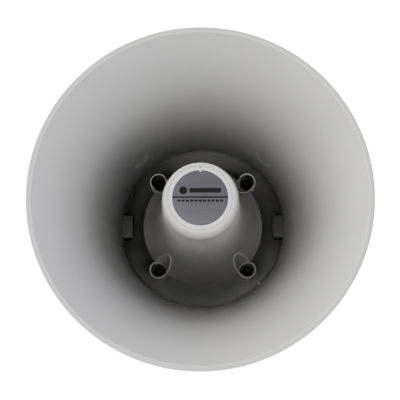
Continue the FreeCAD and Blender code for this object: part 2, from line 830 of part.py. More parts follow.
def throat_tube(document, d):
    piece = Piece(document, "throat_tube")
    wall = d.tube_wall
    piece.turned(piece.lengthwise([
        (d.tube_front_bore, d.tube_front), (d.tube_front_bore + wall, d.tube_front),
        (d.tube_rear_bore + wall, d.pan_front), (d.tube_rear_bore + wall, d.pan_rear),
        (d.tube_flange_radius, d.pan_rear),
        (d.tube_flange_radius, d.tube_flange_rear), (d.tube_rear_bore, d.tube_flange_rear),
    ]))
    hole = piece.lengthwise(box(d.throat_screw_circle, d.pan_front,
                                d.throat_screw_circle + d.driver_screw_radius + 2 * d.fit_gap,
                                d.tube_flange_rear + 1))
    piece.around(piece.turned(hole, beside_axis(d.throat_screw_circle), cut=True), THIRDS)
    return piece


# --- Compression driver --------------------------------------------------------------------------

def driver_throat_plate(document, d):
    piece = Piece(document, "driver_throat_plate")
    seat = d.plug_radius + d.fit_gap
    piece.turned(piece.lengthwise([
        (d.tube_rear_bore, d.tube_flange_rear), (d.driver_radius, d.tube_flange_rear),
        (d.driver_radius, d.plate_rear), (d.roll_relief_radius, d.plate_rear),
        (d.roll_relief_radius, d.roll_relief_depth), (seat, d.roll_relief_depth),
        (seat, d.plug_seat), (d.plug_seat_bore, d.plug_seat),
    ]))
    for circle, radius, bottom, turn in (
        (d.throat_screw_circle, d.driver_screw_radius + d.fit_gap, d.throat_screw_end + 1, 0.0),
        (d.driver_bolt_circle, d.driver_screw_radius + 2 * d.fit_gap, d.plate_rear + 1, DIAGONAL),
    ):
        hole = piece.lengthwise(box(circle, d.pan_rear, circle + radius, bottom), turn)
        piece.around(piece.turned(hole, beside_axis(circle), cut=True), THIRDS)
    return piece


def phase_plug(document, d):
    piece = Piece(document, "phase_plug")
    rim = d.plug_radius - d.plug_rim
    rear = d.plug_hollow + fall(d.plug_bend, rim)
    piece.turned(piece.lengthwise([
        (0, d.plug_nose_depth), (d.plug_nose_flat, d.plug_nose_depth),
        (d.plug_nose_radius, d.plug_seat), (d.plug_radius, d.plug_seat),
        (d.plug_radius, d.roll_relief_depth), (rim, rear), right(d.plug_bend),
        (0, d.plug_hollow),
    ]))
    hole = piece.lengthwise(box(d.plug_hole_circle, d.plug_nose_depth,
                                d.plug_hole_circle + d.plug_hole_radius, rear + 1))
    piece.around(piece.turned(hole, beside_axis(d.plug_hole_circle), cut=True), PLUG_HOLES)
    return piece


def diaphragm_dome(document, d):
    piece = Piece(document, "diaphragm_dome")
    rise = fall(d.dome_bend, d.dome_radius)
    crest = d.plate_rear - rise
    piece.turned(piece.lengthwise([
        (0, crest), left(d.dome_bend), (d.dome_radius, d.plate_rear),
        (d.coil_outer, d.plate_rear), (d.coil_outer, d.plate_rear + d.dome_thickness),
        (d.dome_radius, d.plate_rear + d.dome_thickness), right(d.dome_bend),
        (0, crest + d.dome_thickness),
    ]))
    return piece


def diaphragm_surround(document, d):
    piece = Piece(document, "diaphragm_surround")
    front = d.plate_rear
    rear = d.plate_rear + d.dome_thickness
    skin = d.dome_thickness
    piece.turned(piece.lengthwise([
        (d.surround_inner, front), (d.roll_inner, front), left(d.roll_bend), (d.roll_outer, front),
        (d.surround_outer, front), (d.surround_outer, rear), (d.roll_outer - skin, rear),
        right(d.roll_bend - skin), (d.roll_inner + skin, rear), (d.surround_inner, rear),
    ]))
    return piece


def voice_coil(document, d):
    return ring(document, "voice_coil", d.coil_inner, d.coil_outer,
                d.plate_rear + d.dome_thickness, d.coil_end)


def diaphragm_ring(document, d):
    piece = Piece(document, "diaphragm_ring")
    step = d.plate_rear + d.dome_thickness
    outer = d.surround_outer + d.fit_gap
    piece.turned(piece.lengthwise([
        (d.roll_relief_radius, step), (outer, step), (outer, d.plate_rear),
        (d.driver_radius, d.plate_rear), (d.driver_radius, d.spacer_rear),
        (d.roll_relief_radius, d.spacer_rear),
    ]))
    hole = piece.lengthwise(box(d.driver_bolt_circle, d.plug_seat,
                                d.driver_bolt_circle + d.driver_screw_radius + 2 * d.fit_gap,
                                d.spacer_rear + 1), DIAGONAL)
    piece.around(piece.turned(hole, beside_axis(d.driver_bolt_circle), cut=True), THIRDS)
    return piece


def top_plate(document, d):
    piece = ring(document, "top_plate", d.gap_radius, d.driver_radius, d.spacer_rear, d.top_plate_rear)
    hole = piece.lengthwise(box(d.driver_bolt_circle, d.plate_rear,
                                d.driver_bolt_circle + d.driver_screw_radius + d.fit_gap,
                                d.driver_bolt_end + 1), DIAGONAL)
    piece.around(piece.turned(hole, beside_axis(d.driver_bolt_circle), cut=True), THIRDS)
    return piece


def magnet(document, d):
    return ring(document, "magnet", d.magnet_inner, d.magnet_outer, d.top_plate_rear, d.magnet_rear)


def yoke(document, d):
    piece = Piece(document, "yoke")
    piece.turned(piece.lengthwise([
        (d.pole_vent, d.pole_front), (d.pole_radius, d.pole_front), (d.pole_radius, d.magnet_rear),
        (d.driver_radius, d.magnet_rear), (d.driver_radius, d.yoke_rear), (d.pole_vent, d.yoke_rear),
    ]))
    return piece


# --- Rear cover and what it holds ----------------------------------------------------------------

def rear_cover(document, d):
    piece = Piece(document, "rear_cover")
    wall = d.cover_wall
    inner_back = d.cover_back - wall
    piece.turned(piece.lengthwise([
        (d.cover_radius - wall, d.cover_gasket_rear), (d.cover_flange_radius, d.cover_gasket_rear),
        (d.cover_flange_radius, d.cover_flange_rear), (d.cover_radius, d.cover_flange_rear),
        (d.cover_shoulder_radius, d.cover_shoulder_depth), left(d.cover_bend),
        (d.cover_back_radius, d.cover_back), (0, d.cover_back), (0, inner_back),
        (d.cover_back_radius - wall / 2, inner_back), right(d.cover_bend - wall),
        (d.cover_shoulder_radius - wall, d.cover_shoulder_depth),
    ]))

    # Grip ribs down the side, between the bosses
    rib = piece.lengthwise([
        (d.cover_radius - wall / 2, d.cover_flange_rear),
        (d.cover_radius + d.cover_rib_rise, d.cover_flange_rear),
        (d.cover_shoulder_radius + d.cover_rib_rise / 2, d.cover_shoulder_depth - 4),
        (d.cover_shoulder_radius - wall / 2, d.cover_shoulder_depth),
    ], DIAGONAL / 2)
    piece.around(piece.padded(rib, 2 * d.cover_rib_half, both_ways=True), EIGHTHS)

    # Bosses for the reflector screws, joined to the wall
    boss = piece.lengthwise(box(d.lug_circle, d.cover_gasket_rear,
                                d.lug_circle + d.cover_boss_radius, d.cover_boss_rear), DIAGONAL)
    piece.around(piece.turned(boss, beside_axis(d.lug_circle)), QUARTERS)
    seat = piece.lengthwise(box(d.lug_circle, d.cover_gasket_rear - 1,
                                d.lug_circle + d.insert_radius, d.insert_rear), DIAGONAL)
    piece.around(piece.turned(seat, beside_axis(d.lug_circle), cut=True), QUARTERS)

    # Rests for the transformer and its strap on the inside of the back
    rest = piece.crosswise(inner_back)
    draw(rest, box(-d.rest_half_width, -d.rest_half_height, d.rest_half_width, d.rest_half_height))
    piece.padded(rest, inner_back - d.core_rear)
    post = piece.lengthwise(box(d.strap_screw_offset, d.core_rear,
                                d.strap_screw_offset + d.strap_boss_radius, inner_back))
    piece.around(piece.turned(post, beside_axis(d.strap_screw_offset)), SIDES)
    pilot = piece.lengthwise(box(d.strap_screw_offset, d.core_front,
                                 d.strap_screw_offset + d.small_screw_radius + d.fit_gap, inner_back))
    piece.around(piece.turned(pilot, beside_axis(d.strap_screw_offset), cut=True), SIDES)

    # Sunk well for the power tap selector
    well = piece.crosswise(inner_back)
    draw_circle(well, (0, d.selector_height), d.selector_boss_radius)
    piece.padded(well, inner_back - d.selector_boss_front)
    for radius, depth in ((d.selector_well_radius, d.selector_well_floor), (d.selector_bore, d.core_front)):
        hole = piece.crosswise(d.cover_back)
        draw_circle(hole, (0, d.selector_height), radius)
        piece.padded(hole, d.cover_back - depth, cut=True, deeper=False)

    # Flat boss and hole for the cable gland at the bottom
    boss = piece.sketch("YZ_Plane")
    draw(boss, box(d.gland_depth, -d.gland_face, d.gland_depth + d.gland_boss_radius, -d.gland_inner_face))
    piece.turned(boss, beside_axis(d.gland_depth))
    hole = piece.sketch("YZ_Plane")
    draw(hole, box(d.gland_depth, -d.gland_face - 1, d.gland_depth + d.gland_thread_radius + d.fit_gap,
                   -d.gland_thread_end))
    piece.turned(hole, beside_axis(d.gland_depth), cut=True)
    return piece


def cover_inserts(document, d):
    piece = Piece(document, "cover_inserts")
    bore = d.reflector_screw_radius + d.fit_gap
    insert = piece.lengthwise(box(d.lug_circle + bore, d.cover_gasket_rear,
                                  d.lug_circle + d.insert_radius, d.insert_rear), DIAGONAL)
    piece.around(piece.turned(insert, beside_axis(d.lug_circle)), QUARTERS)
    return piece


def rating_label(document, d):
    piece = Piece(document, "rating_label")
    label = piece.crosswise(d.cover_back)
    draw(label, box(-d.label_half_width, d.label_height - d.label_half_height,
                    d.label_half_width, d.label_height + d.label_half_height))
    piece.padded(label, d.label_thickness, deeper=True)
    return piece


def selector_body(document, d):
    piece = Piece(document, "selector_body")
    case = piece.crosswise(d.selector_boss_front)
    draw_circle(case, (0, d.selector_height), d.selector_body_radius)
    piece.padded(case, d.selector_boss_front - d.selector_body_front)
    bore = piece.crosswise(d.selector_boss_front)
    draw_circle(bore, (0, d.selector_height), d.selector_bore)
    piece.padded(bore, d.selector_boss_front - d.selector_shaft_front + 1, cut=True, deeper=False)
    # Solder tags round the front of the case
    tag = piece.crosswise(d.selector_body_front)
    reach = d.selector_tag_offset
    half = d.selector_tag_half
    thin = d.selector_tag_thickness / 2
    for side in (-1, 1):
        for row in (-1, 1):
            height = d.selector_height + row * d.selector_tag_rise
            draw(tag, box(side * reach - half, height - thin, side * reach + half, height + thin))
    piece.padded(tag, d.selector_tag_length)
    return piece


def selector_knob(document, d):
    piece = Piece(document, "selector_knob")
    disc = piece.crosswise(d.knob_front)
    draw_circle(disc, (0, d.selector_height), d.knob_radius)
    piece.padded(disc, d.knob_rear - d.knob_front, deeper=True)
    shaft = piece.crosswise(d.knob_front)
    draw_circle(shaft, (0, d.selector_height), d.selector_shaft_radius)
    piece.padded(shaft, d.knob_front - d.selector_shaft_front)
    # Screwdriver slot with one pointed end
    slot = piece.crosswise(d.knob_rear)
    half = d.knob_slot_half
    low = d.selector_height - d.knob_slot_length / 2
    high = d.selector_height + d.knob_slot_length / 2
    draw(slot, [(-half, low), (half, low), (half, high - half), (0, high), (-half, high - half)])
    piece.padded(slot, d.knob_slot_depth, cut=True, deeper=False)
    return piece


def gland_part(document, d, name, outline):
    """A piece of the cable gland, turned about the gland's vertical axis."""
    piece = Piece(document, name)
    sketch = piece.sketch("YZ_Plane")
    draw(sketch, [item if isinstance(item, Bow) else (d.gland_depth + item[0], -item[1]) for item in outline])
    piece.turned(sketch, beside_axis(d.gland_depth))
    return piece


def gland_hex(piece, d, low, high, hollow):
    """A hexagon flange or nut on the gland's axis, between two distances below the horn's axis."""
    sketch = piece.sketch("XY_Plane", offset=-high)
    draw(sketch, hexagon(Size(0, "0"), d.gland_depth, d.gland_hex_size))
    draw_circle(sketch, (0, d.gland_depth), hollow)
    piece.padded(sketch, high - low)


def gland_body(document, d):
    bore = d.gland_bore
    neck = d.gland_neck_radius
    piece = gland_part(document, d, "gland_body", [
        (bore, d.gland_thread_end), (bore, d.gland_neck_end), (neck, d.gland_neck_end),
        (neck, d.gland_face), (d.gland_thread_radius, d.gland_face),
        (d.gland_thread_radius, d.gland_thread_end),
    ])
    gland_hex(piece, d, d.gland_face, d.gland_hex_end, bore)
    return piece


def gland_seal(document, d):
    return gland_part(document, d, "gland_seal", [
        (d.gland_seal_bore, d.gland_neck_end), (d.gland_seal_bore, d.gland_seal_end),
        (d.gland_seal_radius, d.gland_seal_end), (d.gland_seal_radius, d.gland_neck_end),
    ])


def gland_cap(document, d):
    inner = d.gland_seal_radius + d.fit_gap
    collar = d.gland_neck_radius + d.fit_gap
    outer = d.gland_cap_radius
    round_over = d.gland_cap_round
    start = d.gland_hex_end + d.gland_cap_gap
    return gland_part(document, d, "gland_cap", [
        (collar, start), (collar, d.gland_neck_end), (inner, d.gland_neck_end), (inner, d.gland_seal_end),
        (d.gland_cap_bore, d.gland_seal_end), (d.gland_cap_bore, d.gland_cap_end),
        (outer - round_over, d.gland_cap_end), left(round_over),
        (outer, d.gland_cap_end - round_over), (outer, start),
    ])


def gland_nut(document, d):
    piece = Piece(document, "gland_nut")
    gland_hex(piece, d, d.gland_nut_end, d.gland_inner_face, d.gland_thread_radius + d.fit_gap)
    return piece


def transformer_core(document, d):
    piece = Piece(document, "transformer_core")
    block = piece.crosswise(d.core_rear)
    draw(block, box(-d.core_half_width, -d.core_half_stack, d.core_half_width, d.core_half_stack))
    piece.padded(block, d.core_rear - d.core_front)
    window = piece.sketch("XY_Plane")
    draw(window, box(d.core_leg_half, d.core_front + d.core_yoke,
                     d.core_window_outer, d.core_rear - d.core_yoke))
    piece.around(piece.padded(window, 2 * d.core_half_stack + 2, cut=True, both_ways=True), SIDES)
    return piece


def transformer_winding(document, d):
    piece = Piece(document, "transformer_winding")
    gap = d.winding_clearance
    front = d.core_front + d.core_yoke + gap
    rear = d.core_rear - d.core_yoke - gap
    block = piece.crosswise(rear)
    wide = d.core_window_outer - gap
    draw(block, box(-wide, -d.winding_half_stack, wide, d.winding_half_stack))
    piece.padded(block, rear - front)
    hole = piece.crosswise(rear)
    leg = d.core_leg_half + gap / 2
    stack = d.core_half_stack + gap / 2
    draw(hole, box(-leg, -stack, leg, stack))
    piece.padded(hole, rear - front, cut=True, deeper=False)
    return piece


def transformer_bracket(document, d):
    """The strap that goes over the core, with an ear at each end."""
    piece = Piece(document, "transformer_bracket")
    thick = d.strap_thickness
    inner = d.core_half_width
    outer = inner + thick
    ear = d.core_rear - thick
    strap = piece.sketch("XY_Plane")
    draw(strap, [
        (-d.strap_ear_end, ear), (-outer, ear), (-outer, d.core_front - thick), (outer, d.core_front - thick),
        (outer, ear), (d.strap_ear_end, ear), (d.strap_ear_end, d.core_rear), (inner, d.core_rear),
        (inner, d.core_front), (-inner, d.core_front), (-inner, d.core_rear), (-d.strap_ear_end, d.core_rear),
    ])
    piece.padded(strap, 2 * d.strap_half_height, both_ways=True)
    hole = piece.lengthwise(box(d.strap_screw_offset, ear - 1,
                                d.strap_screw_offset + d.small_screw_radius + 2 * d.fit_gap, d.core_rear + 1))
    piece.around(piece.turned(hole, beside_axis(d.strap_screw_offset), cut=True), SIDES)
    return piece


def terminal_block(document, d):
    piece = Piece(document, "terminal_block")
    inner_back = d.cover_back - d.cover_wall
    body = piece.crosswise(inner_back)
    draw(body, box(-d.terminal_half_width, d.terminal_low, d.terminal_half_width, d.terminal_high))
    piece.padded(body, inner_back - d.terminal_front)
    for column in (-1, 0, 1):
        well = piece.crosswise(d.terminal_front)
        middle = (column * d.terminal_pitch, (d.terminal_low + d.terminal_high) / 2)
        draw_circle(well, middle, d.terminal_screw_radius + d.fit_gap)
        piece.padded(well, d.terminal_well_depth, cut=True, deeper=True)
    return piece


def terminal_screws(document, d):
    piece = Piece(document, "terminal_screws")
    seat = d.terminal_front + d.terminal_well_depth
    height = d.terminal_screw_height
    half = d.terminal_slot_width / 2
    reach = d.terminal_slot_reach
    for column in (-1, 0, 1):
        screw = piece.crosswise(seat)
        middle = (column * d.terminal_pitch, (d.terminal_low + d.terminal_high) / 2)
        draw_circle(screw, middle, d.terminal_screw_radius)
        piece.padded(screw, height)
        slot = piece.crosswise(seat - height)
        draw(slot, box(middle[0] - reach, middle[1] - half, middle[0] + reach, middle[1] + half))
        piece.padded(slot, d.terminal_slot_depth, cut=True, deeper=True)
    return piece


# --- Bracket and pivot hardware ------------------------------------------------------------------

def bracket(document, d):
    """A steel strip bent to a U, in the wall's frame: base on y = 0, arms towards -Y."""
    piece = Piece(document, "bracket", in_horn=False)
    thick = d.bracket_thickness
    inner = d.arm_inner
    outer = inner + thick
    bend = d.bracket_bend
    reach = d.mouth_offset - d.pivot_depth
    tip = -(reach + d.arm_end_radius)
    section = piece.sketch("XY_Plane")
    draw(section, [
        (-outer + bend, 0), left(bend), (-outer, -bend), (-outer, tip), (-inner, tip), (-inner, -bend),
        right(bend - thick), (-inner + bend - thick, -thick), (inner - bend + thick, -thick),
        right(bend - thick), (inner, -bend), (inner, tip), (outer, tip), (outer, -bend), left(bend),
        (outer - bend, 0),
    ])
    piece.padded(section, 2 * d.base_half_height, both_ways=True)

    # The arms taper to round ends about the pivot
    waste = piece.sketch("YZ_Plane")
    end = d.arm_end_radius
    high = d.base_half_height
    taper_start = -d.arm_taper_start
    for sign in (1, -1):
        corner = [(-reach, sign * end), (tip, 0), (tip - 1, 0), (tip - 1, sign * (high + 1)),
                  (taper_start, sign * (high + 1)), (taper_start, sign * high)]
        bowed = [corner[0], (left if sign > 0 else right)(end), *corner[1:]]
        draw(waste, bowed)
    piece.padded(waste, 2 * outer + 2, cut=True, both_ways=True)

    for sign in (-1, 1):
        hole = piece.sketch("YZ_Plane", offset=sign * (inner - 1))
        draw_circle(hole, (-reach, 0), d.arm_hole_radius)
        piece.padded(hole, thick + 2, cut=True, deeper=sign < 0)
    centre = piece.sketch("XZ_Plane")
    draw_circle(centre, (0, 0), d.centre_hole_radius)
    half = d.slot_width / 2
    run = (d.slot_length - d.slot_width) / 2
    for sign in (-1, 1):
        middle = sign * d.slot_offset
        draw(centre, [
            (middle - run, -half), (middle + run, -half), left(half), (middle + run + half, 0), left(half),
            (middle + run, half), (middle - run, half), left(half), (middle - run - half, 0), left(half),
        ])
    piece.padded(centre, 2 * thick + 2, cut=True, both_ways=True)
    return piece


def pivot_rings(document, d, name, inner, outer, start, thickness):
    """A washer or bush on each side of the horn, on the tilt axis."""
    piece = Piece(document, name)
    shape = piece.lengthwise(box(start, d.pivot_depth + inner, start + thickness, d.pivot_depth + outer))
    piece.around(piece.turned(shape, across_axis(d.pivot_depth)), SIDES)
    return piece


def pivot_inserts(document, d):
    return pivot_rings(document, d, "pivot_inserts", d.bolt_radius + d.fit_gap, d.pivot_insert_radius,
                       d.pivot_insert_inner, d.pad_face - d.pivot_insert_inner)


def pivot_spacers(document, d):
    return pivot_rings(document, d, "pivot_spacers", d.arm_hole_radius, d.spacer_radius,
                       d.pad_face, d.arm_inner - d.pad_face)


def pivot_washers(document, d):
    return pivot_rings(document, d, "pivot_washers", d.washer_hole_radius, d.flat_washer_radius,
                       d.arm_inner + d.bracket_thickness, d.flat_washer_thickness)


def pivot_lock_washers(document, d):
    start = d.arm_inner + d.bracket_thickness + d.flat_washer_thickness
    return pivot_rings(document, d, "pivot_lock_washers", d.washer_hole_radius, d.lock_washer_radius,
                       start, d.lock_washer_thickness)


def pivot_bolts(document, d):
    piece = Piece(document, "pivot_bolts")
    seat = d.arm_inner + d.bracket_thickness + d.flat_washer_thickness + d.lock_washer_thickness
    point = seat - d.bolt_length
    top = d.pivot_depth + d.bolt_radius
    shank = piece.lengthwise([
        (point, d.pivot_depth), (seat, d.pivot_depth), (seat, top), (point + 1, top), (point, top - 1),
    ])
    piece.around(piece.turned(shank, across_axis(d.pivot_depth)), SIDES)
    for sign in (1, -1):
        head = piece.sketch("YZ_Plane", offset=sign * seat)
        draw(head, hexagon(d.pivot_depth, Size(0, "0"), d.bolt_across_flats))
        piece.padded(head, d.bolt_head_height, deeper=sign < 0)
    return piece


# --- Screws ---------------------------------------------------------------------------------------

def reflector_screws(document, d):
    return ring_of_screws(document, d, "reflector_screws", d.lug_circle, QUARTERS, DIAGONAL,
                          d.reflector_screw_radius, d.reflector_screw_head, d.reflector_screw_head_height,
                          d.lug_seat, d.reflector_screw_end)


def throat_screws(document, d):
    return ring_of_screws(document, d, "throat_screws", d.throat_screw_circle, THIRDS, 0.0,
                          d.driver_screw_radius, d.driver_screw_head, d.driver_screw_head_height,
                          d.pan_front, d.throat_screw_end)


def driver_bolts(document, d):
    return ring_of_screws(document, d, "driver_bolts", d.driver_bolt_circle, THIRDS, DIAGONAL,
                          d.driver_screw_radius, d.driver_screw_head, d.driver_screw_head_height,
                          d.tube_flange_rear, d.driver_bolt_end)


def transformer_screws(document, d):
    ear = d.core_rear - d.strap_thickness
    return ring_of_screws(document, d, "transformer_screws", d.strap_screw_offset, SIDES, 0.0,
                          d.small_screw_radius, d.small_screw_head, d.small_screw_head_height,
                          ear, d.cover_back - d.cover_wall - 1)


def tower_screws(document, d):
    """Screws driven from behind, through the pan's ears into the bell's towers."""
    piece = Piece(document, "tower_screws")
    circle = d.tower_circle
    radius = d.tower_screw_radius
    height = d.tower_screw_head_height
    face = d.pan_rear + height
    screw = piece.lengthwise([
        (circle, d.tower_screw_end), (circle + radius * POINT_SHARE, d.tower_screw_end),
        (circle + radius, d.tower_screw_end + radius * POINT_LENGTH), (circle + radius, d.pan_rear),
        (circle + d.tower_screw_head, d.pan_rear), (circle + d.tower_screw_head, d.pan_rear + height / 2),
        left(height), (circle + d.tower_screw_head * FLAT_SHARE, face), (circle, face),
    ], DIAGONAL)
    piece.around(piece.turned(screw, beside_axis(circle)), QUARTERS)
    drive_cross(piece, d, circle, face, DIAGONAL, QUARTERS, deeper=False)
    return piece


BUILDERS = (
    bell, bell_gasket, throat_pan, cover_gasket, reflector, reflector_cap, nameplate, throat_tube,
    driver_throat_plate, phase_plug, diaphragm_dome, diaphragm_surround, voice_coil, diaphragm_ring,
    top_plate, magnet, yoke, driver_bolts, throat_screws, rear_cover, cover_inserts, rating_label,
    selector_body, selector_knob, gland_body, gland_seal, gland_cap, gland_nut, transformer_core,
    transformer_winding, transformer_bracket, transformer_screws, terminal_block, terminal_screws,
    reflector_screws, tower_screws, bracket, pivot_bolts, pivot_lock_washers, pivot_washers,
    pivot_spacers, pivot_inserts,
)


CUTS = ("PartDesign::Pocket", "PartDesign::Groove")
LEAST_CUT = 0.05                # cubic millimetres that every cut has to take away


def main():
    document = FreeCAD.newDocument("Horn")
    sheet = Sheet(document)
    document.recompute()
    pieces = [build(document, sheet) for build in BUILDERS]
    document.recompute()
    failed = [item.Label for item in document.Objects if {"Invalid", "Error"} & set(item.State)]
    if failed:
        raise RuntimeError(f"failed objects: {failed}")
    for piece in pieces:
        shape = piece.body.Shape
        if shape.isNull() or not shape.isValid():
            raise RuntimeError(f"{piece.body.Label} has no valid shape")
    for cut in [item for item in document.Objects if item.TypeId in CUTS]:
        if cut.BaseFeature.Shape.Volume - cut.Shape.Volume < LEAST_CUT:
            raise RuntimeError(f"{cut.Label} takes nothing away")
    os.makedirs("parts", exist_ok=True)
    for piece in pieces:
        shape = piece.body.Shape
        shape.exportStep(f"parts/{piece.body.Label}.step")
        print(f"{piece.body.Label}: {len(shape.Solids)} solids, {shape.Volume / 1000:.2f} cm3")


main()
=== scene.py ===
import json
import math

import bmesh
import bpy
import numpy as np
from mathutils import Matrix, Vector


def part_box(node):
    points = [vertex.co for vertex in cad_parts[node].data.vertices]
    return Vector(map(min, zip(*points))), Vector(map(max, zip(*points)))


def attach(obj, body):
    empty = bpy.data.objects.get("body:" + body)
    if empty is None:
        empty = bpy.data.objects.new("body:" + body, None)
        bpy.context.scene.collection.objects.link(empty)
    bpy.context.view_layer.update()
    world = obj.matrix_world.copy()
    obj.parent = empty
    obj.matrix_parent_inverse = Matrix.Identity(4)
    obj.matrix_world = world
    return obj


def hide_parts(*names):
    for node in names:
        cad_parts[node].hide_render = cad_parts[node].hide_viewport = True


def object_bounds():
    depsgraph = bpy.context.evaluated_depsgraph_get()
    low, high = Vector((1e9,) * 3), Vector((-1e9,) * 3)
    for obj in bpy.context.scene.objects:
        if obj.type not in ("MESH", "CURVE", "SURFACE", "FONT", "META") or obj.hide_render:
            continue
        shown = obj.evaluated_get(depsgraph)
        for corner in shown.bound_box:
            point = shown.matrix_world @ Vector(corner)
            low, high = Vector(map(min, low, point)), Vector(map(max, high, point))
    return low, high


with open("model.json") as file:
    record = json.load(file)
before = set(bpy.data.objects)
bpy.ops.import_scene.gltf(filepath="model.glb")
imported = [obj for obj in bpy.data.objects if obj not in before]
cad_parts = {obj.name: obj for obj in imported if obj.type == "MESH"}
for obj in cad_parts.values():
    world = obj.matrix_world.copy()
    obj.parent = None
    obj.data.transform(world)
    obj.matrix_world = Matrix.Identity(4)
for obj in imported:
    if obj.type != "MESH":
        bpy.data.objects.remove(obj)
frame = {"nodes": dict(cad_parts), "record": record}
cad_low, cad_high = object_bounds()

MM = 0.001
WELD = 2e-6
SMOOTH_ANGLE = math.radians(35)
SIXTH = math.pi / 3
QUARTER = math.pi / 2

# --- Places taken from the frame ---
# Pieces of the horn are drawn in millimetres in the horn's own frame: x to the right, depth behind the
# mouth plane, z up. Every place that a CAD node already holds is read from that node's box.


def node_span(node, axis):
    """Lowest and highest coordinate of a CAD node on one axis, in millimetres of the row's frame."""
    low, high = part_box(node)
    return low[axis] / MM, high[axis] / MM


MOUTH_Y = node_span("bell", 1)[0]


def depths(node):
    """Front and rear depth of a node behind the mouth plane."""
    front, rear = node_span(node, 1)
    return front - MOUTH_Y, rear - MOUTH_Y


def half_width(node):
    return node_span(node, 0)[1]


def node_points(node):
    """Every vertex of a CAD node, in millimetres of the row's frame."""
    return np.array([vertex.co for vertex in frame["nodes"][node].data.vertices], float) / MM


def ring_radii(node):
    """Smallest and largest radius of a CAD node about the horn's axis."""
    points = node_points(node)
    radius = np.hypot(points[:, 0], points[:, 2])
    return float(radius.min()), float(radius.max())


def side_span(node):
    """Inner and outer distance from the middle plane of a node that stands on both sides."""
    points = np.abs(node_points(node)[:, 0])
    return float(points.min()), float(points.max())


def side_radius(node):
    low, high = node_span(node, 2)
    return (high - low) / 2


MOUTH_RADIUS = half_width("bell")
BELL_REAR = depths("bell")[1]
FLANGE_RADIUS = ring_radii("bell_gasket")[1]
PAN_FRONT = depths("bell_gasket")[1]
PAN_REAR = depths("throat_pan")[1]
FACE = depths("reflector")[0]
CAP_RADIUS = half_width("reflector_cap")
PLATE_RADIUS = half_width("nameplate")
PLATE_FRONT, PLATE_SEAT = depths("nameplate")
COVER_FRONT, COVER_BACK = depths("rear_cover")
COVER_FLANGE = half_width("rear_cover")
KNOB_HEIGHT = sum(node_span("selector_knob", 2)) / 2
GLAND_DEPTH = sum(depths("gland_cap")) / 2
PIVOT_DEPTH = sum(depths("pivot_bolts")) / 2
ARM_OUTER = half_width("bracket")

DIAGONALS = [math.radians(45 + 90 * quarter) for quarter in range(4)]
RIB_TURNS = [math.radians(22.5 + 45 * eighth) for eighth in range(8)]


# --- Mesh making ---

def to_row(points, origin=MOUTH_Y):
    """Points (x, depth, z) in millimetres to the row's frame in metres; depths count from origin."""
    return (np.asarray(points, float) + np.array([0.0, origin, 0.0])) * MM


def staged(name, data):
    """An object for a mesh or a camera, linked to the scene."""
    piece = bpy.data.objects.new(name, data)
    bpy.context.scene.collection.objects.link(piece)
    return piece


def finish_mesh(name, mesh, slot, replaced=(), body="horn", look=None):
    """Link a mesh as a piece with smooth shading that keeps its sharp edges."""
    piece = staged(name, mesh)
    for polygon in mesh.polygons:
        polygon.use_smooth = True
    mesh.set_sharp_from_angle(angle=SMOOTH_ANGLE)
    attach(piece, body)
    if replaced:
        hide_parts(*replaced)
    mesh.materials.append(MATERIALS[look or slot])


def from_work(name, work):
    """A new mesh from a bmesh, which is freed."""
    mesh = bpy.data.meshes.new(name)
    work.to_mesh(mesh)
    work.free()
    return mesh


def grid_mesh(name, points, wrap_rows=True, wrap_columns=True):
    """A mesh of quads over a grid of points (rows, columns, 3) given in metres."""
    rows, columns = points.shape[:2]
    mesh = bpy.data.meshes.new(name)
    index = np.arange(rows * columns).reshape(rows, columns)
    following_rows = np.roll(index, -1, 0) if wrap_rows else index[1:]
    here = index if wrap_rows else index[:-1]
    across = np.roll(following_rows, -1, 1)
    beside = np.roll(here, -1, 1)
    quads = np.stack([here, beside, across, following_rows], -1)
    if not wrap_columns:
        quads = quads[:, :-1]
    mesh.from_pydata(points.reshape(-1, 3).tolist(), [], quads.reshape(-1, 4).tolist())
    return mesh


def welded(mesh):
    """Weld doubles, drop empty faces and make the normals point outwards."""
    work = bmesh.new()
    work.from_mesh(mesh)
    bmesh.ops.remove_doubles(work, verts=work.verts, dist=WELD)
    bmesh.ops.dissolve_degenerate(work, edges=work.edges, dist=WELD / 2)
    bmesh.ops.recalc_face_normals(work, faces=work.faces)
    work.to_mesh(mesh)
    work.free()
    return mesh


def joined(name, meshes):
    """Several meshes in one."""
    work = bmesh.new()
    for mesh in meshes:
        work.from_mesh(mesh)
        bpy.data.meshes.remove(mesh)
    return from_work(name, work)


def settled(pieces):
    """The mesh that the first object's modifiers give; the objects and their own meshes are removed."""
    graph = bpy.context.evaluated_depsgraph_get()
    result = bpy.data.meshes.new_from_object(pieces[0].evaluated_get(graph))
    for piece in pieces:
        mesh = piece.data
        bpy.data.objects.remove(piece)
        bpy.data.meshes.remove(mesh)
    return result


def cut_with(mesh, cutters):
    """Take closed cutter meshes out of a mesh with exact booleans."""
    pieces = [staged("base", mesh)]
    for number, cutter in enumerate(cutters):
        tool = staged(f"tool_{number}", cutter)
        pieces.append(tool)
        modifier = pieces[0].modifiers.new(f"cut_{number}", "BOOLEAN")
        modifier.operation = "DIFFERENCE"
        modifier.solver = "EXACT"
        modifier.object = tool
    return settled(pieces)


def bevelled(mesh, width, angle=40.0, segments=2):
    """Round the sharp edges of a mesh."""
    piece = staged("bevel", mesh)
    modifier = piece.modifiers.new("bevel", "BEVEL")
    modifier.width = width * MM
    modifier.segments = segments
    modifier.limit_method = "ANGLE"
    modifier.angle_limit = math.radians(angle)
    modifier.harden_normals = False
    return settled([piece])


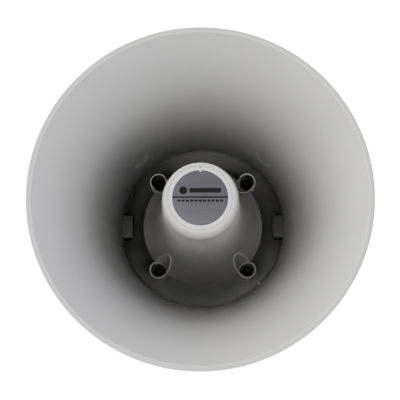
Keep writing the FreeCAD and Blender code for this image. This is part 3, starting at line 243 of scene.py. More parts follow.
def rounded(corners, steps=5):
    """A path through corners (x, y, radius), each corner rounded by its radius."""
    path = []
    for place, (x, y, radius) in enumerate(corners):
        if radius == 0:
            path.append((x, y))
            continue
        here = Vector((x, y))
        back = Vector(corners[place - 1][:2]) - here
        ahead = Vector(corners[(place + 1) % len(corners)][:2]) - here
        reach = radius / math.tan(back.angle(ahead) / 2)
        start = here + back.normalized() * reach
        end = here + ahead.normalized() * reach
        centre = here + (back.normalized() + ahead.normalized()).normalized() * math.hypot(radius, reach)
        for step in range(steps + 1):
            spoke = (start - centre).lerp(end - centre, step / steps).normalized()
            path.append(tuple(centre + spoke * radius))
    return path


def profile(corners, steps=5):
    """The two coordinates of a rounded path, apart."""
    return np.transpose(rounded(corners, steps))


def arc(start, end, radius, steps):
    """Points of an arc from start to end; the centre lies on the left of the way for a positive radius."""
    start, end = np.asarray(start, float), np.asarray(end, float)
    chord = end - start
    length = math.hypot(*chord)
    left = np.array([-chord[1], chord[0]]) / length
    rise = math.sqrt(max(radius * radius - length * length / 4, 0.0))
    centre = (start + end) / 2 + math.copysign(rise, radius) * left
    first = math.atan2(start[1] - centre[1], start[0] - centre[0])
    last = math.atan2(end[1] - centre[1], end[0] - centre[0])
    sweep = (last - first + math.pi) % (2 * math.pi) - math.pi
    turns = first + sweep * np.linspace(0, 1, steps)
    return np.stack([centre[0] + abs(radius) * np.cos(turns), centre[1] + abs(radius) * np.sin(turns)], -1)


def full_turn(steps):
    """A column of turns all round."""
    return np.linspace(0, 2 * math.pi, steps, endpoint=False)[:, None]


def around(turns, radius, depth, centre=(0.0, 0.0)):
    """Row points at radii and depths about an axis along the depth, one row of them for each turn."""
    x = centre[0] + radius * np.cos(turns)
    z = centre[1] + radius * np.sin(turns)
    return to_row(np.stack([x, np.broadcast_to(depth, x.shape), z], -1))


def swept(turns, sections):
    """Row points about the horn's axis along sections of (radii, depths); radii may vary with the turn."""
    rows = len(turns)
    radius = np.hstack([np.broadcast_to(radii, (rows, np.shape(radii)[-1])) for radii, _ in sections])
    return around(turns, radius, np.concatenate([section_depths for _, section_depths in sections]))


def lathe_mesh(path, segments, centre=(0.0, 0.0)):
    """A turned solid about an axis along the depth, from a path of (radius, depth)."""
    path = np.asarray(path, float)
    points = around(full_turn(segments), path[:, 0], path[:, 1], centre)
    return welded(grid_mesh("turned", points, True, path[0, 0] > 0))


def prism(name, ends):
    """A closed solid between two equal outlines of row points."""
    work = bmesh.new()
    lower, upper = [[work.verts.new(point) for point in end] for end in ends]
    work.faces.new(lower)
    work.faces.new(upper[::-1])
    for place in range(len(lower)):
        following = (place + 1) % len(lower)
        work.faces.new([lower[place], lower[following], upper[following], upper[place]])
    bmesh.ops.recalc_face_normals(work, faces=work.faces)
    return from_work(name, work)


PLANES = {"depth": (0, 2, 1), "x": (2, 0, 1), "z": (0, 1, 2)}


def slab(name, outline, low, high, plane="depth", origin=MOUTH_Y):
    """A prism: an outline of (a, b) points pushed between two heights of one axis.

    plane "depth" reads (x, z) and pushes along the depth; "x" reads (depth, z) and pushes along x;
    "z" reads (x, depth) and pushes along z. PLANES gives the order that turns (a, b, height) into points.
    """
    ends = []
    for height in (low, high):
        points = np.array([(a, b, height) for a, b in outline], float)
        ends.append(to_row(points[:, PLANES[plane]], origin))
    return prism(name, ends)


def spun(outline, turn):
    """Outline points (a, b) in a plane across the axis, turned about the axis."""
    cos, sin = math.cos(turn), math.sin(turn)
    return [(a * cos - b * sin, a * sin + b * cos) for a, b in outline]


def radial_rib(name, outline, turn, thickness):
    """A flat rib standing on the horn: an outline of (radius, depth) with a thickness across the turn."""
    ends = []
    for side in (-thickness / 2, thickness / 2):
        places = spun([(radius, side) for radius, _ in outline], turn)
        ends.append(to_row([(x, depth, z) for (x, z), (_, depth) in zip(places, outline)]))
    return prism(name, ends)


def on_circle(radius, turns, centre=(0.0, 0.0)):
    """Points of a circle at some turns."""
    return [(centre[0] + radius * math.cos(turn), centre[1] + radius * math.sin(turn)) for turn in turns]


def rectangle(left, right, low, high):
    return [(left, low), (right, low), (right, high), (left, high)]


def rounded_box(half_width, half_height, radius, middle=(0.0, 0.0), steps=6):
    corners = [(x, z, radius) for x, z in rectangle(-half_width, half_width, -half_height, half_height)]
    return [(x + middle[0], z + middle[1]) for x, z in rounded(corners, steps)]


def turn_samples(step, clusters):
    """Turns all round, with finer steps near the places where detail stands: (turn, reach, step)."""
    turns = list(np.arange(0, 360, step))
    for middle, reach, fine in clusters:
        turns += list(math.degrees(middle) + np.arange(-reach, reach + fine / 2, fine))
    turns = np.unique(np.round(np.asarray(turns) % 360, 3))
    return np.radians(turns)[:, None]


def depth_samples(start, end, step, clusters=()):
    """Depths from start to end with finer steps near details: (depth, reach, step)."""
    low, high = min(start, end), max(start, end)
    marks = list(np.linspace(low, high, max(2, int(round((high - low) / step)) + 1)))
    for middle, reach, fine in clusters:
        near = np.arange(middle - reach, middle + reach + fine / 2, fine)
        marks += [mark for mark in near if low < mark < high]
    marks = np.unique(np.round(marks, 3))
    return marks if end > start else marks[::-1]


def ramp(value, start, end):
    """Smooth step from 0 at start to 1 at end."""
    part = np.clip((value - start) / (end - start), 0, 1)
    return part * part * (3 - 2 * part)


def turn_from(turns, middle):
    """Signed turn between each turn and a middle."""
    return (turns - middle + math.pi) % (2 * math.pi) - math.pi


def hexagon(turns, flats):
    """Radius of a hexagon's rim at each turn, for a width across its flats."""
    return flats / 2 / np.cos((turns + SIXTH / 2) % SIXTH - SIXTH / 2)


def horn_points(mesh):
    """Radius, turn and depth of every vertex in the horn's own frame, in millimetres."""
    points = np.empty(len(mesh.vertices) * 3)
    mesh.vertices.foreach_get("co", points)
    x, y, z = (points.reshape(-1, 3) / MM).T
    return np.hypot(x, z), np.arctan2(z, x), y - MOUTH_Y


def set_painted_shade(mesh, values):
    """Store each vertex's painted shade, from 0 (none) to 1 (black)."""
    attribute = mesh.attributes.get("painted_shade") or mesh.attributes.new("painted_shade", "FLOAT", "POINT")
    attribute.data.foreach_set("value", np.asarray(values, np.float32))


# --- Materials ---

class Nodes:
    """The node tree of a material or a world, with short calls for adding and joining nodes."""

    def __init__(self, owner, shader="Principled BSDF"):
        owner.use_nodes = True
        self.owner = owner
        self.tree = owner.node_tree
        self.shader = self.tree.nodes[shader]

    def add(self, kind, **values):
        node = self.tree.nodes.new(kind)
        for key, value in values.items():
            if key in node.inputs:
                node.inputs[key].default_value = value
            else:
                setattr(node, key, value)
        return node

    def join(self, source, output, target, socket):
        self.tree.links.new(source.outputs[output], target.inputs[socket])

    def feed(self, source, output, socket):
        """Join an output to the shader."""
        self.join(source, output, self.shader, socket)

    def places(self, stretch=(1, 1, 1)):
        """Object coordinates, stretched."""
        place = self.add("ShaderNodeTexCoord")
        mapping = self.add("ShaderNodeMapping", Scale=stretch)
        self.join(place, "Object", mapping, "Vector")
        return mapping

    def noise(self, scale, detail=3.0, stretch=(1, 1, 1)):
        mapping = self.places(stretch)
        noise = self.add("ShaderNodeTexNoise", Scale=scale, Detail=detail)
        self.join(mapping, "Vector", noise, "Vector")
        return noise

    def spread(self, source, output, low, high, start=0.3, end=0.7, kind="LINEAR"):
        """Map a value to a range."""
        node = self.add("ShaderNodeMapRange", interpolation_type=kind)
        for key, value in (("From Min", start), ("From Max", end), ("To Min", low), ("To Max", high)):
            node.inputs[key].default_value = value
        self.join(source, output, node, "Value")
        return node

    def product(self, *factors):
        """Multiply outputs, each given as (node, output)."""
        last = factors[0]
        for factor in factors[1:]:
            node = self.add("ShaderNodeMath", operation="MULTIPLY")
            self.join(*last, node, 0)
            self.join(*factor, node, 1)
            last = (node, "Value")
        return last

    def tint(self, source, dark, light):
        """A colour between two by a texture's value."""
        node = self.add("ShaderNodeValToRGB")
        for element, position, colour in zip(node.color_ramp.elements, (0.3, 0.7), (dark, light)):
            element.position = position
            element.color = (*colour, 1)
        self.join(source, "Fac", node, "Fac")
        return node

    def coat(self, source, dark, light):
        """Colour the surface between two colours."""
        self.feed(self.tint(source, dark, light), "Color", "Base Color")

    def rough(self, source, low, high):
        self.feed(self.spread(source, "Fac", low, high), "Result", "Roughness")

    def bump(self, layers):
        """Stack bumps: (source, strength, distance in metres)."""
        last = None
        for source, strength, distance in layers:
            node = self.add("ShaderNodeBump", Strength=strength, Distance=distance)
            self.join(source, "Fac", node, "Height")
            if last is not None:
                self.join(last, "Normal", node, "Normal")
            last = node
        self.feed(last, "Normal", "Normal")


def shade(colour, factor):
    return tuple(min(1.0, channel * factor) for channel in colour)


def new_look():
    return Nodes(bpy.data.materials.new("look"))


def moulded(colour, roughness=0.42, grain=1400.0, depth=0.00004, specular=0.45):
    """Moulded plastic: cloudiness, a satin grain, a slow waviness, and painted shade that darkens it by a
    per-vertex share.
    """
    nodes = new_look()
    cloud = nodes.noise(18.0, 4.0)
    fine = nodes.noise(grain, 2.0)
    wave = nodes.noise(26.0, 1.0)
    smear = nodes.noise(90.0, 5.0, (1, 0.25, 1))
    tint = nodes.tint(cloud, shade(colour, 0.965), shade(colour, 1.0175))
    # Painted shade: the vertex share scales the colour down towards black.
    painted_shade = nodes.add("ShaderNodeAttribute", attribute_name="painted_shade")
    painted_light = nodes.spread(painted_shade, "Fac", 1.0, 0.0, 0.0, 1.0)
    dimmed = nodes.add("ShaderNodeVectorMath", operation="SCALE")
    nodes.join(tint, "Color", dimmed, 0)
    nodes.join(painted_light, "Result", dimmed, "Scale")
    nodes.feed(dimmed, "Vector", "Base Color")
    nodes.rough(smear, roughness - 0.05, roughness + 0.07)
    nodes.shader.inputs["Specular IOR Level"].default_value = specular
    nodes.bump([(wave, 0.25, 0.0004), (fine, 0.35, depth)])
    return nodes.owner


def metal(colour, roughness):
    """Plated or bare metal: fine scratches and slight tarnish."""
    nodes = new_look()
    nodes.shader.inputs["Metallic"].default_value = 1.0
    cloud = nodes.noise(60.0, 4.0)
    scores = nodes.noise(700.0, 4.0)
    nodes.coat(cloud, shade(colour, 0.88), colour)
    nodes.rough(scores, roughness - 0.08, roughness + 0.12)
    nodes.bump([(scores, 0.3, 0.00003), (cloud, 0.1, 0.0001)])
    return nodes.owner


def powder_coat(colour):
    """Powder coating on steel: orange peel and slight soiling."""
    nodes = new_look()
    peel = nodes.noise(420.0, 2.0)
    dust = nodes.noise(35.0, 6.0)
    nodes.coat(dust, shade(colour, 0.93), colour)
    nodes.rough(dust, 0.36, 0.5)
    nodes.bump([(peel, 0.45, 0.00012)])
    return nodes.owner


def banded(dark, light, scale, direction, roughness, metallic=0.0):
    """Layers seen edge on: laminations, wound tape or wound wire."""
    nodes = new_look()
    nodes.shader.inputs["Metallic"].default_value = metallic
    mapping = nodes.places()
    wave = nodes.add("ShaderNodeTexWave", Scale=scale, Distortion=0.4, bands_direction=direction)
    nodes.join(mapping, "Vector", wave, "Vector")
    spots = nodes.noise(120.0, 4.0)
    nodes.coat(wave, dark, light)
    nodes.rough(spots, roughness - 0.08, roughness + 0.1)
    nodes.bump([(wave, 0.4, 0.0001), (spots, 0.2, 0.00005)])
    return nodes.owner


def satin_foil(colour):
    """Anodised nameplate foil: fine lines across and a soft sheen."""
    nodes = new_look()
    nodes.shader.inputs["Metallic"].default_value = 0.35
    lines = nodes.noise(900.0, 3.0, (0.05, 1, 1))
    cloud = nodes.noise(45.0, 3.0)
    nodes.coat(lines, shade(colour, 0.93), shade(colour, 1.05))
    nodes.rough(cloud, 0.42, 0.52)
    nodes.bump([(lines, 0.2, 0.00001)])
    return nodes.owner


MATERIALS = {
    "bell_abs": moulded((0.60, 0.60, 0.60)),
    "reflector_abs": moulded((0.58, 0.58, 0.555)),
    "pan_abs": moulded((0.85, 0.85, 0.82), roughness=0.5),
    "cap_abs": moulded((0.69, 0.69, 0.71), roughness=0.4),
    "cover_abs": moulded((0.23, 0.23, 0.222), roughness=0.5, grain=700.0, depth=0.0001),
    "nameplate_foil": satin_foil((0.09, 0.086, 0.108)),
    "label_film": satin_foil((0.33, 0.335, 0.34)),
    "gasket_rubber": moulded((0.012, 0.012, 0.012), roughness=0.65, specular=0.15),
    "screw_steel": metal((0.36, 0.36, 0.35), 0.32),
    "screw_black": metal((0.035, 0.035, 0.037), 0.5),
    "bolt_steel": metal((0.40, 0.395, 0.385), 0.28),
    "bracket_steel": powder_coat((0.26, 0.26, 0.25)),
    "insert_brass": metal((0.72, 0.54, 0.25), 0.3),
    "driver_alloy": metal((0.60, 0.60, 0.60), 0.45),
    "dome_metal": metal((0.78, 0.78, 0.78), 0.22),
    "amber_film": moulded((0.42, 0.22, 0.06), roughness=0.25),
    "copper_wire": banded((0.42, 0.16, 0.06), (0.75, 0.36, 0.18), 900.0, "Y", 0.3, 0.9),
    "plated_steel": metal((0.62, 0.58, 0.46), 0.34),
    "ferrite": moulded((0.045, 0.045, 0.05), roughness=0.6, grain=500.0, depth=0.0001),
    "laminated_iron": banded((0.03, 0.03, 0.03), (0.16, 0.16, 0.17), 320.0, "Z", 0.45, 0.5),
    "winding_tape": banded((0.45, 0.30, 0.04), (0.62, 0.44, 0.08), 60.0, "Y", 0.3),
    "black_moulding": moulded((0.02, 0.02, 0.02), roughness=0.45),
    "knob_moulding": moulded((0.012, 0.012, 0.012), roughness=0.45, specular=0.2),
    "gland_nylon": moulded((0.012, 0.012, 0.013), roughness=0.45, specular=0.2),
    "terminal_moulding": moulded((0.70, 0.70, 0.66), roughness=0.4),
    "print_ink": moulded((0.008, 0.008, 0.009), roughness=0.6, specular=0.12),
}
for look_name, material in MATERIALS.items():
    material.name = look_name

for entry in frame["record"]["subparts"]:
    node = frame["nodes"][entry["node"]]
    node.data.materials.clear()
    node.data.materials.append(MATERIALS[entry["material_slot"]])


# --- Bell ---

THROAT_RADIUS = 75.0
WALL = 2.8
LIP_BAND = 4.5
LIP_EDGE = 1.5
LIP_INNER_EDGE = 0.9
LIP_LENGTH = 8.0
LIP_ROOT = 7.6
FLANGE_LENGTH = 4.0
FLANGE_FRONT = BELL_REAR - FLANGE_LENGTH
WAIST_DEPTH = 60.0
FLARE_REAR = 330.0
FLARE_FRONT = 150.0
WAIST_RADIUS = THROAT_RADIUS + FLARE_REAR - math.sqrt(FLARE_REAR**2 - (BELL_REAR - WAIST_DEPTH)**2)
LIP_INNER = MOUTH_RADIUS - LIP_BAND
FLARE = arc((LIP_INNER, LIP_INNER_EDGE), (WAIST_RADIUS, WAIST_DEPTH), -FLARE_FRONT, 120)

TOWER_CIRCLE = 86.0
TOWER_RADIUS = 7.0
TOWER_TIP = 3.0
TOWER_TOP = 126.0
WEB_INNER = 76.5
WEB_HALF = 5.0
WEB_TOP = 147.0
RIB_TOP = 140.0
RIB_THICKNESS = 2.0
PAD_FACE = node_span("pivot_spacers", 0)[1] - 1.0
PAD_RADIUS = 15.0
PAD_ROOT = 76.0
BLOCK_INNER = 65.0
BLOCK_OUTER = 76.2
BLOCK_HALF = 10.3
BLOCK_FRONT = 163.0

# Faint sink marks behind each screw tower: arcs of an ellipse on the inside of the wall.
GHOST_HEIGHT = 0.25
GHOST_WIDTH = 0.55
GHOST_STEPS = (0.0, -2.1)
GHOST_HALF_WIDTH = 8.3
GHOST_REACH = 12.5
GHOST_START = 127.5
GHOST_MIDDLE = 134.0
BELL_STEP = 2.5

# Painted shade, where 1 is black: the plastic's colour is darkened a little at the mouth and more and more
# toward the throat, where little light reaches; evenly on the outside, deeply on the throat blocks and
# lightly on the lip's outer face.
# The last four shares are painted light that lessens the shade on the lower wall, on the sink marks, on the
# right side and on the left near the rim.
PAINTED_SHADE_DEPTHS = (0, 30, 60, 95, 120, 155, 178)
PAINTED_SHADE_SHARES = (0.37, 0.46, 0.54, 0.60, 0.65, 0.70, 0.72)
BLOCK_PAINTED_SHADE = 0.88
OUTSIDE_PAINTED_SHADE = 0.6
LIP_PAINTED_SHADE = 0.16
LOWER_PAINTED_LIGHT = 0.12
GHOST_PAINTED_LIGHT = 0.45
RIGHT_PAINTED_LIGHT = 0.08
LEFT_RIM_PAINTED_LIGHT = 0.18


def flare(depth, wall=0.0):
    """Radius of the bell's inner wall at a depth, or of its outer wall."""
    depth = np.asarray(depth, float)
    reach = FLARE_REAR - wall
    rear = THROAT_RADIUS + wall + reach - np.sqrt(reach**2 - np.clip(BELL_REAR - depth, 0, 200)**2)
    front = np.interp(depth, FLARE[:, 1], FLARE[:, 0])
    lean = np.interp(depth, FLARE[:, 1], np.gradient(FLARE[:, 0], FLARE[:, 1]))
    return np.where(depth >= WAIST_DEPTH, rear, front + wall * np.sqrt(1 + lean**2))


def bell_ghosts(turns, depth):
    """Rise of the sink marks that the screw towers leave on the inside of the wall."""
    relief = np.zeros(np.broadcast(turns, depth).shape)
    for diagonal in DIAGONALS:
        across = turn_from(turns, diagonal) * flare(depth)
        away = np.hypot(across / GHOST_HALF_WIDTH, (depth - GHOST_START) / GHOST_REACH) - 1
        for offset in GHOST_STEPS:
            relief += GHOST_HEIGHT * np.exp(-((away * GHOST_HALF_WIDTH - offset) / GHOST_WIDTH)**2)
    return relief * ramp(depth, GHOST_START - 4, GHOST_START + 3)


def bell_mesh():
    turns = turn_samples(1.0, [(turn, 9, 0.3) for turn in DIAGONALS])
    clusters = [(GHOST_MIDDLE, 9, 0.5), (BELL_REAR - 1, 1, 0.3)]
    inner_depth = depth_samples(LIP_INNER_EDGE, BELL_REAR, BELL_STEP, clusters)
    outer_depth = depth_samples(FLANGE_FRONT, LIP_LENGTH, BELL_STEP, [(LIP_LENGTH, 2, 0.4)])
    lip = profile([
        (MOUTH_RADIUS - LIP_ROOT, LIP_LENGTH, 0.4), (MOUTH_RADIUS, LIP_LENGTH, 0.5),
        (MOUTH_RADIUS, 0, LIP_EDGE), (LIP_INNER, 0, LIP_INNER_EDGE),
        (LIP_INNER - 0.5, LIP_INNER_EDGE + 0.4, 0),
    ], 7)[:, :-1]
    rear = profile([
        (THROAT_RADIUS, BELL_REAR, 0.3), (FLANGE_RADIUS, BELL_REAR, 0.4),
        (FLANGE_RADIUS, FLANGE_FRONT, 0.4), (FLANGE_RADIUS - 3, FLANGE_FRONT, 0),
    ], 4)[:, :-1]
    inner = flare(inner_depth)[None, :] + bell_ghosts(turns, inner_depth[None, :])
    outer = flare(outer_depth, WALL)
    sections = [lip, (inner[:, :-1], inner_depth[:-1]), rear, (outer, outer_depth)]
    return grid_mesh("bell_skin", swept(turns, sections))


def tower_mesh(turn):
    """A tapered screw tower."""
    radii, places = profile([
        (0, TOWER_TOP, 0), (TOWER_TIP, TOWER_TOP, 1.2), (TOWER_RADIUS, TOWER_TOP + TOWER_RADIUS, 1.5),
        (TOWER_RADIUS, BELL_REAR - 0.2, 0), (0, BELL_REAR - 0.2, 0),
    ])
    points = around(full_turn(64), radii, places, *on_circle(TOWER_CIRCLE, [turn]))
    return grid_mesh("tower", points, True, False)


def paint_bell(mesh):
    radius, turn, depth = horn_points(mesh)
    rightward = np.cos(turn)
    lower = np.clip(-np.sin(turn), 0, 1) ** 2
    ghosts = np.clip(bell_ghosts(turn, depth) / GHOST_HEIGHT, 0, 1)
    near_rim = 1 - ramp(depth, 40.0, 95.0)
    # Painted shade that deepens toward the throat.
    painted_shade = np.interp(depth, PAINTED_SHADE_DEPTHS, PAINTED_SHADE_SHARES)
    # Painted light lessens the shade on the lower wall, on the sink marks, on the right side and on the
    # left near the rim.
    painted_shade = painted_shade * (1 - LOWER_PAINTED_LIGHT * lower) * (1 - GHOST_PAINTED_LIGHT * ghosts)
    painted_shade = painted_shade * (1 - RIGHT_PAINTED_LIGHT * rightward - LEFT_RIM_PAINTED_LIGHT * np.maximum(0, -rightward) * near_rim)
    # The outside gets an even painted shade.
    painted_shade = np.where(radius < flare(depth) + 1.0, painted_shade, OUTSIDE_PAINTED_SHADE)
    # The blocks in the throat get a deep painted shade.
    level = np.abs(radius * np.sin(turn)) < BLOCK_HALF + 0.1
    on_block = (radius < THROAT_RADIUS + 2) & (depth > BLOCK_FRONT - 0.5) & level
    painted_shade = np.where(on_block, BLOCK_PAINTED_SHADE, painted_shade)
    # The lip's outer face gets a light painted shade; its inner edge gets none, a painted highlight against
    # the shaded wall.
    lip = (depth < LIP_INNER_EDGE - 0.05) | ((depth < 2.5) & (radius > LIP_INNER + 2))
    painted_shade = np.where(lip, np.where(radius > LIP_INNER + 1.2, LIP_PAINTED_SHADE, 0), painted_shade)
    set_painted_shade(mesh, painted_shade)


def build_bell():
    meshes = [bell_mesh()]
    web = rectangle(WEB_INNER, TOWER_CIRCLE, -WEB_HALF, WEB_HALF)
    for turn in DIAGONALS:
        meshes.append(tower_mesh(turn))
        meshes.append(bevelled(slab("web", spun(web, turn), WEB_TOP, BELL_REAR - 0.3), 0.6))
    rear_radius = float(flare(BELL_REAR, WALL))
    top_radius = float(flare(RIB_TOP, WALL))
    rib = [
        (rear_radius - 1, BELL_REAR - 2), (FLANGE_RADIUS - 1, BELL_REAR - 2),
        (FLANGE_RADIUS - 1, FLANGE_FRONT - 3), (top_radius, RIB_TOP), (top_radius - 1.5, RIB_TOP),
    ]
    for turn in RIB_TURNS:
        meshes.append(bevelled(radial_rib("rib", rib, turn, RIB_THICKNESS), 0.35))
    opening = math.acos((BELL_REAR - PIVOT_DEPTH) / PAD_RADIUS)
    turns = np.linspace(opening, 2 * math.pi - opening, 72)
    pad = on_circle(PAD_RADIUS, turns, (PIVOT_DEPTH, 0))
    for side in (-1, 1):
        low, high = sorted((side * PAD_ROOT, side * PAD_FACE))
        meshes.append(bevelled(slab("pad", pad, low, high, "x"), 0.5))
        low, high = sorted((side * BLOCK_INNER, side * BLOCK_OUTER))
        block = rectangle(low, high, -BLOCK_HALF, BLOCK_HALF)
        meshes.append(bevelled(slab("block", block, BLOCK_FRONT, BELL_REAR), 0.7, segments=3))
    mesh = joined("bell_shell", meshes)
    paint_bell(mesh)
    finish_mesh("bell_shell", mesh, "bell_abs", ["bell"])


# --- Reflector ---

FACE_RADIUS = 29.2
FACE_EDGE = 0.8
RECESS_RADIUS = 26.6
RECESS_DEPTH = 14.4
SHOULDER = (32.1, 25.4)
SHOULDER_ROUND = 2.5
BODY = (33.0, 60.0)
SKIRT = (42.0, 135.0)
SKIRT_BEND = 367.0
RIM = (55.0, 164.0)
RIM_BEND = 79.0
SHELL = 2.4
STRAIGHT = 1e5
INNER_BACK = [(24.0, 17.0), (10.0, 17.0), (0.5, 28.0), (0.0, 28.5)]

LUG_CIRCLE = 58.0
LUG_RADIUS = 8.1
LUG_TOP = 158.0
LUG_HOLE = 2.75
LUG_EDGE = 0.55
LUG_CORNER = 0.16
POCKET_RADIUS = 6.6
POCKET_SEAT = 172.0
POCKET_CORNER = 0.6
SCOOP_TIP = np.array([43.2, 138.0])
SCOOP_END_DEPTH = 166.0
SCOOP_WAY = np.array([LUG_CIRCLE, SCOOP_END_DEPTH]) - SCOOP_TIP
SCOOP_LENGTH = math.hypot(*SCOOP_WAY)
SCOOP_TIP_RADIUS = 1.2
SCOOP_END_RADIUS = 6.25
SCOOP_GROWTH = SCOOP_END_RADIUS - SCOOP_TIP_RADIUS
SCOOP_BULGE = 2.0
SCOOP_START = SCOOP_TIP[1] - 8
BEAD_WIDTH = 1.7
BEAD_HEIGHT = 0.9
SEARCH_DEPTH = 9.0
SEARCH_RISE = 1.0
POCKET_REACH = math.radians(16)
POCKET_BLEND = 0.45

# Painted shade, where 1 is black: in the pocket bores, in the scoops, and on the flank, where it deepens
# behind the face; painted light lessens it on the flank's sides.
POCKET_PAINTED_SHADE = 0.9
SCOOP_PAINTED_SHADE = 0.38
SIDE_PAINTED_LIGHT = 0.5
SKIN_PAINTED_SHADE_DEPTHS = (FACE + 0.7, FACE + 1.5, 22.0, 30.0, 60.0, 160.0)
SKIN_PAINTED_SHADE_SHARES = (0, 0.32, 0.45, 0.70, 0.50, 0.58)

SKIN = np.vstack([
    arc(SHOULDER, BODY, STRAIGHT, 30), arc(BODY, SKIRT, -SKIRT_BEND, 50)[1:],
    arc(SKIRT, RIM, -RIM_BEND, 50)[1:],
])


def skin_radius(depth):
    return np.interp(depth, SKIN[:, 1], SKIN[:, 0])


def scoop_girth(share):
    """Radius of the scoop along its slanting axis, from 0 at the tip to 1 at the end."""
    share = np.clip(share, 0, 1)
    return SCOOP_TIP_RADIUS + SCOOP_GROWTH * share + 4 * SCOOP_BULGE * share * (1 - share)


def scoop_place(radial, across, depth):
    """Distance along the scoop's slanting axis from its tip, and distance from that axis."""
    way = SCOOP_WAY / SCOOP_LENGTH
    along = (radial - SCOOP_TIP[0]) * way[0] + (depth - SCOOP_TIP[1]) * way[1]
    aside = (radial - SCOOP_TIP[0]) * way[1] - (depth - SCOOP_TIP[1]) * way[0]
    return along, np.hypot(aside, across)


def scoop_distance(radial, across, depth):
    """Signed distance to the space of a teardrop pocket: a slanting swelling that ends in a bore."""
    along, away = scoop_place(radial, across, depth)
    share = np.clip(along / SCOOP_LENGTH, 0, 1)
    growth = (SCOOP_GROWTH + 4 * SCOOP_BULGE * (1 - 2 * share)) / SCOOP_LENGTH
    swelling = (away - scoop_girth(share)) / np.sqrt(1 + growth * growth)
    swelling = np.where(along < 0, np.hypot(away, along) - SCOOP_TIP_RADIUS, swelling)
    beyond = np.maximum(away - SCOOP_END_RADIUS, along - SCOOP_LENGTH)
    swelling = np.where(along > SCOOP_LENGTH, beyond, swelling)
    bore = np.maximum(np.hypot(radial - LUG_CIRCLE, across) - POCKET_RADIUS, LUG_TOP - depth)
    return np.minimum(swelling, bore)


def soft_max(first, second, reach):
    """The larger of two fields, rounded where they meet."""
    blend = np.clip(0.5 + (first - second) / (2 * reach), 0, 1)
    return second + (first - second) * blend + reach * blend * (1 - blend)


def pocket_relief(turns, depth, skin):
    """Radius of the reflector's outer skin with its teardrop pockets and their beads."""
    radius = np.array(np.broadcast_to(skin, np.broadcast(turns, depth).shape))
    deep = np.broadcast_to(depth, radius.shape)
    for diagonal in DIAGONALS:
        turn = np.broadcast_to(turn_from(turns, diagonal), radius.shape)
        near = (np.abs(turn) < POCKET_REACH) & (deep > SCOOP_START + 1)
        cos, sin = np.cos(turn[near]), np.sin(turn[near])
        base = radius[near]
        gap = scoop_distance(base * cos, base * sin, deep[near])
        bead = ramp(gap, -0.4, 0.35) * (1 - ramp(gap, BEAD_WIDTH - 0.5, BEAD_WIDTH + 0.25))
        base = base + BEAD_HEIGHT * bead
        found = base - SEARCH_DEPTH
        for step in np.linspace(SEARCH_DEPTH, -SEARCH_RISE, 201):
            trial = base - step
            hollow = scoop_distance(trial * cos, trial * sin, deep[near])
            found = np.where(soft_max(trial - base, -hollow, POCKET_BLEND) <= 0, trial, found)
        radius[near] = found
    return radius


def reflector_mesh():
    turns = turn_samples(1.5, [(turn, 13.5, 0.25) for turn in DIAGONALS])
    blend = SHOULDER[1] + 3 * SHOULDER_ROUND
    front = np.array([(0, RECESS_DEPTH)] + rounded([
        (0, RECESS_DEPTH, 0), (RECESS_RADIUS, RECESS_DEPTH, 0), (RECESS_RADIUS, FACE, 0.6),
        (FACE_RADIUS, FACE, FACE_EDGE), (*SHOULDER, SHOULDER_ROUND), (float(skin_radius(blend)), blend, 0),
    ], 6)[1:-1])
    outer_depth = np.concatenate([
        depth_samples(blend, SCOOP_START, 3.0)[:-1], depth_samples(SCOOP_START, RIM[1], 0.25),
    ])
    outer = pocket_relief(turns, outer_depth[None, :], skin_radius(outer_depth)[None, :])
    fold = SHELL / 2
    turn_over = np.linspace(0, math.pi, 9)[1:]
    edge = outer[:, -1:] - fold + fold * np.cos(turn_over)[None, :]
    inner_depth = np.concatenate([
        depth_samples(RIM[1] - 1, SCOOP_START, 1.0), depth_samples(SCOOP_START - 4, 20, 5.0),
    ])
    plain = skin_radius(inner_depth)[None, :]
    inner = np.minimum(pocket_relief(turns, inner_depth[None, :], plain), plain) - SHELL
    points = swept(turns, [
        front.T, (outer, outer_depth), (edge, RIM[1] + fold * np.sin(turn_over)), (inner, inner_depth),
        np.transpose(INNER_BACK),
    ])
    return welded(grid_mesh("skin", points, True, False))


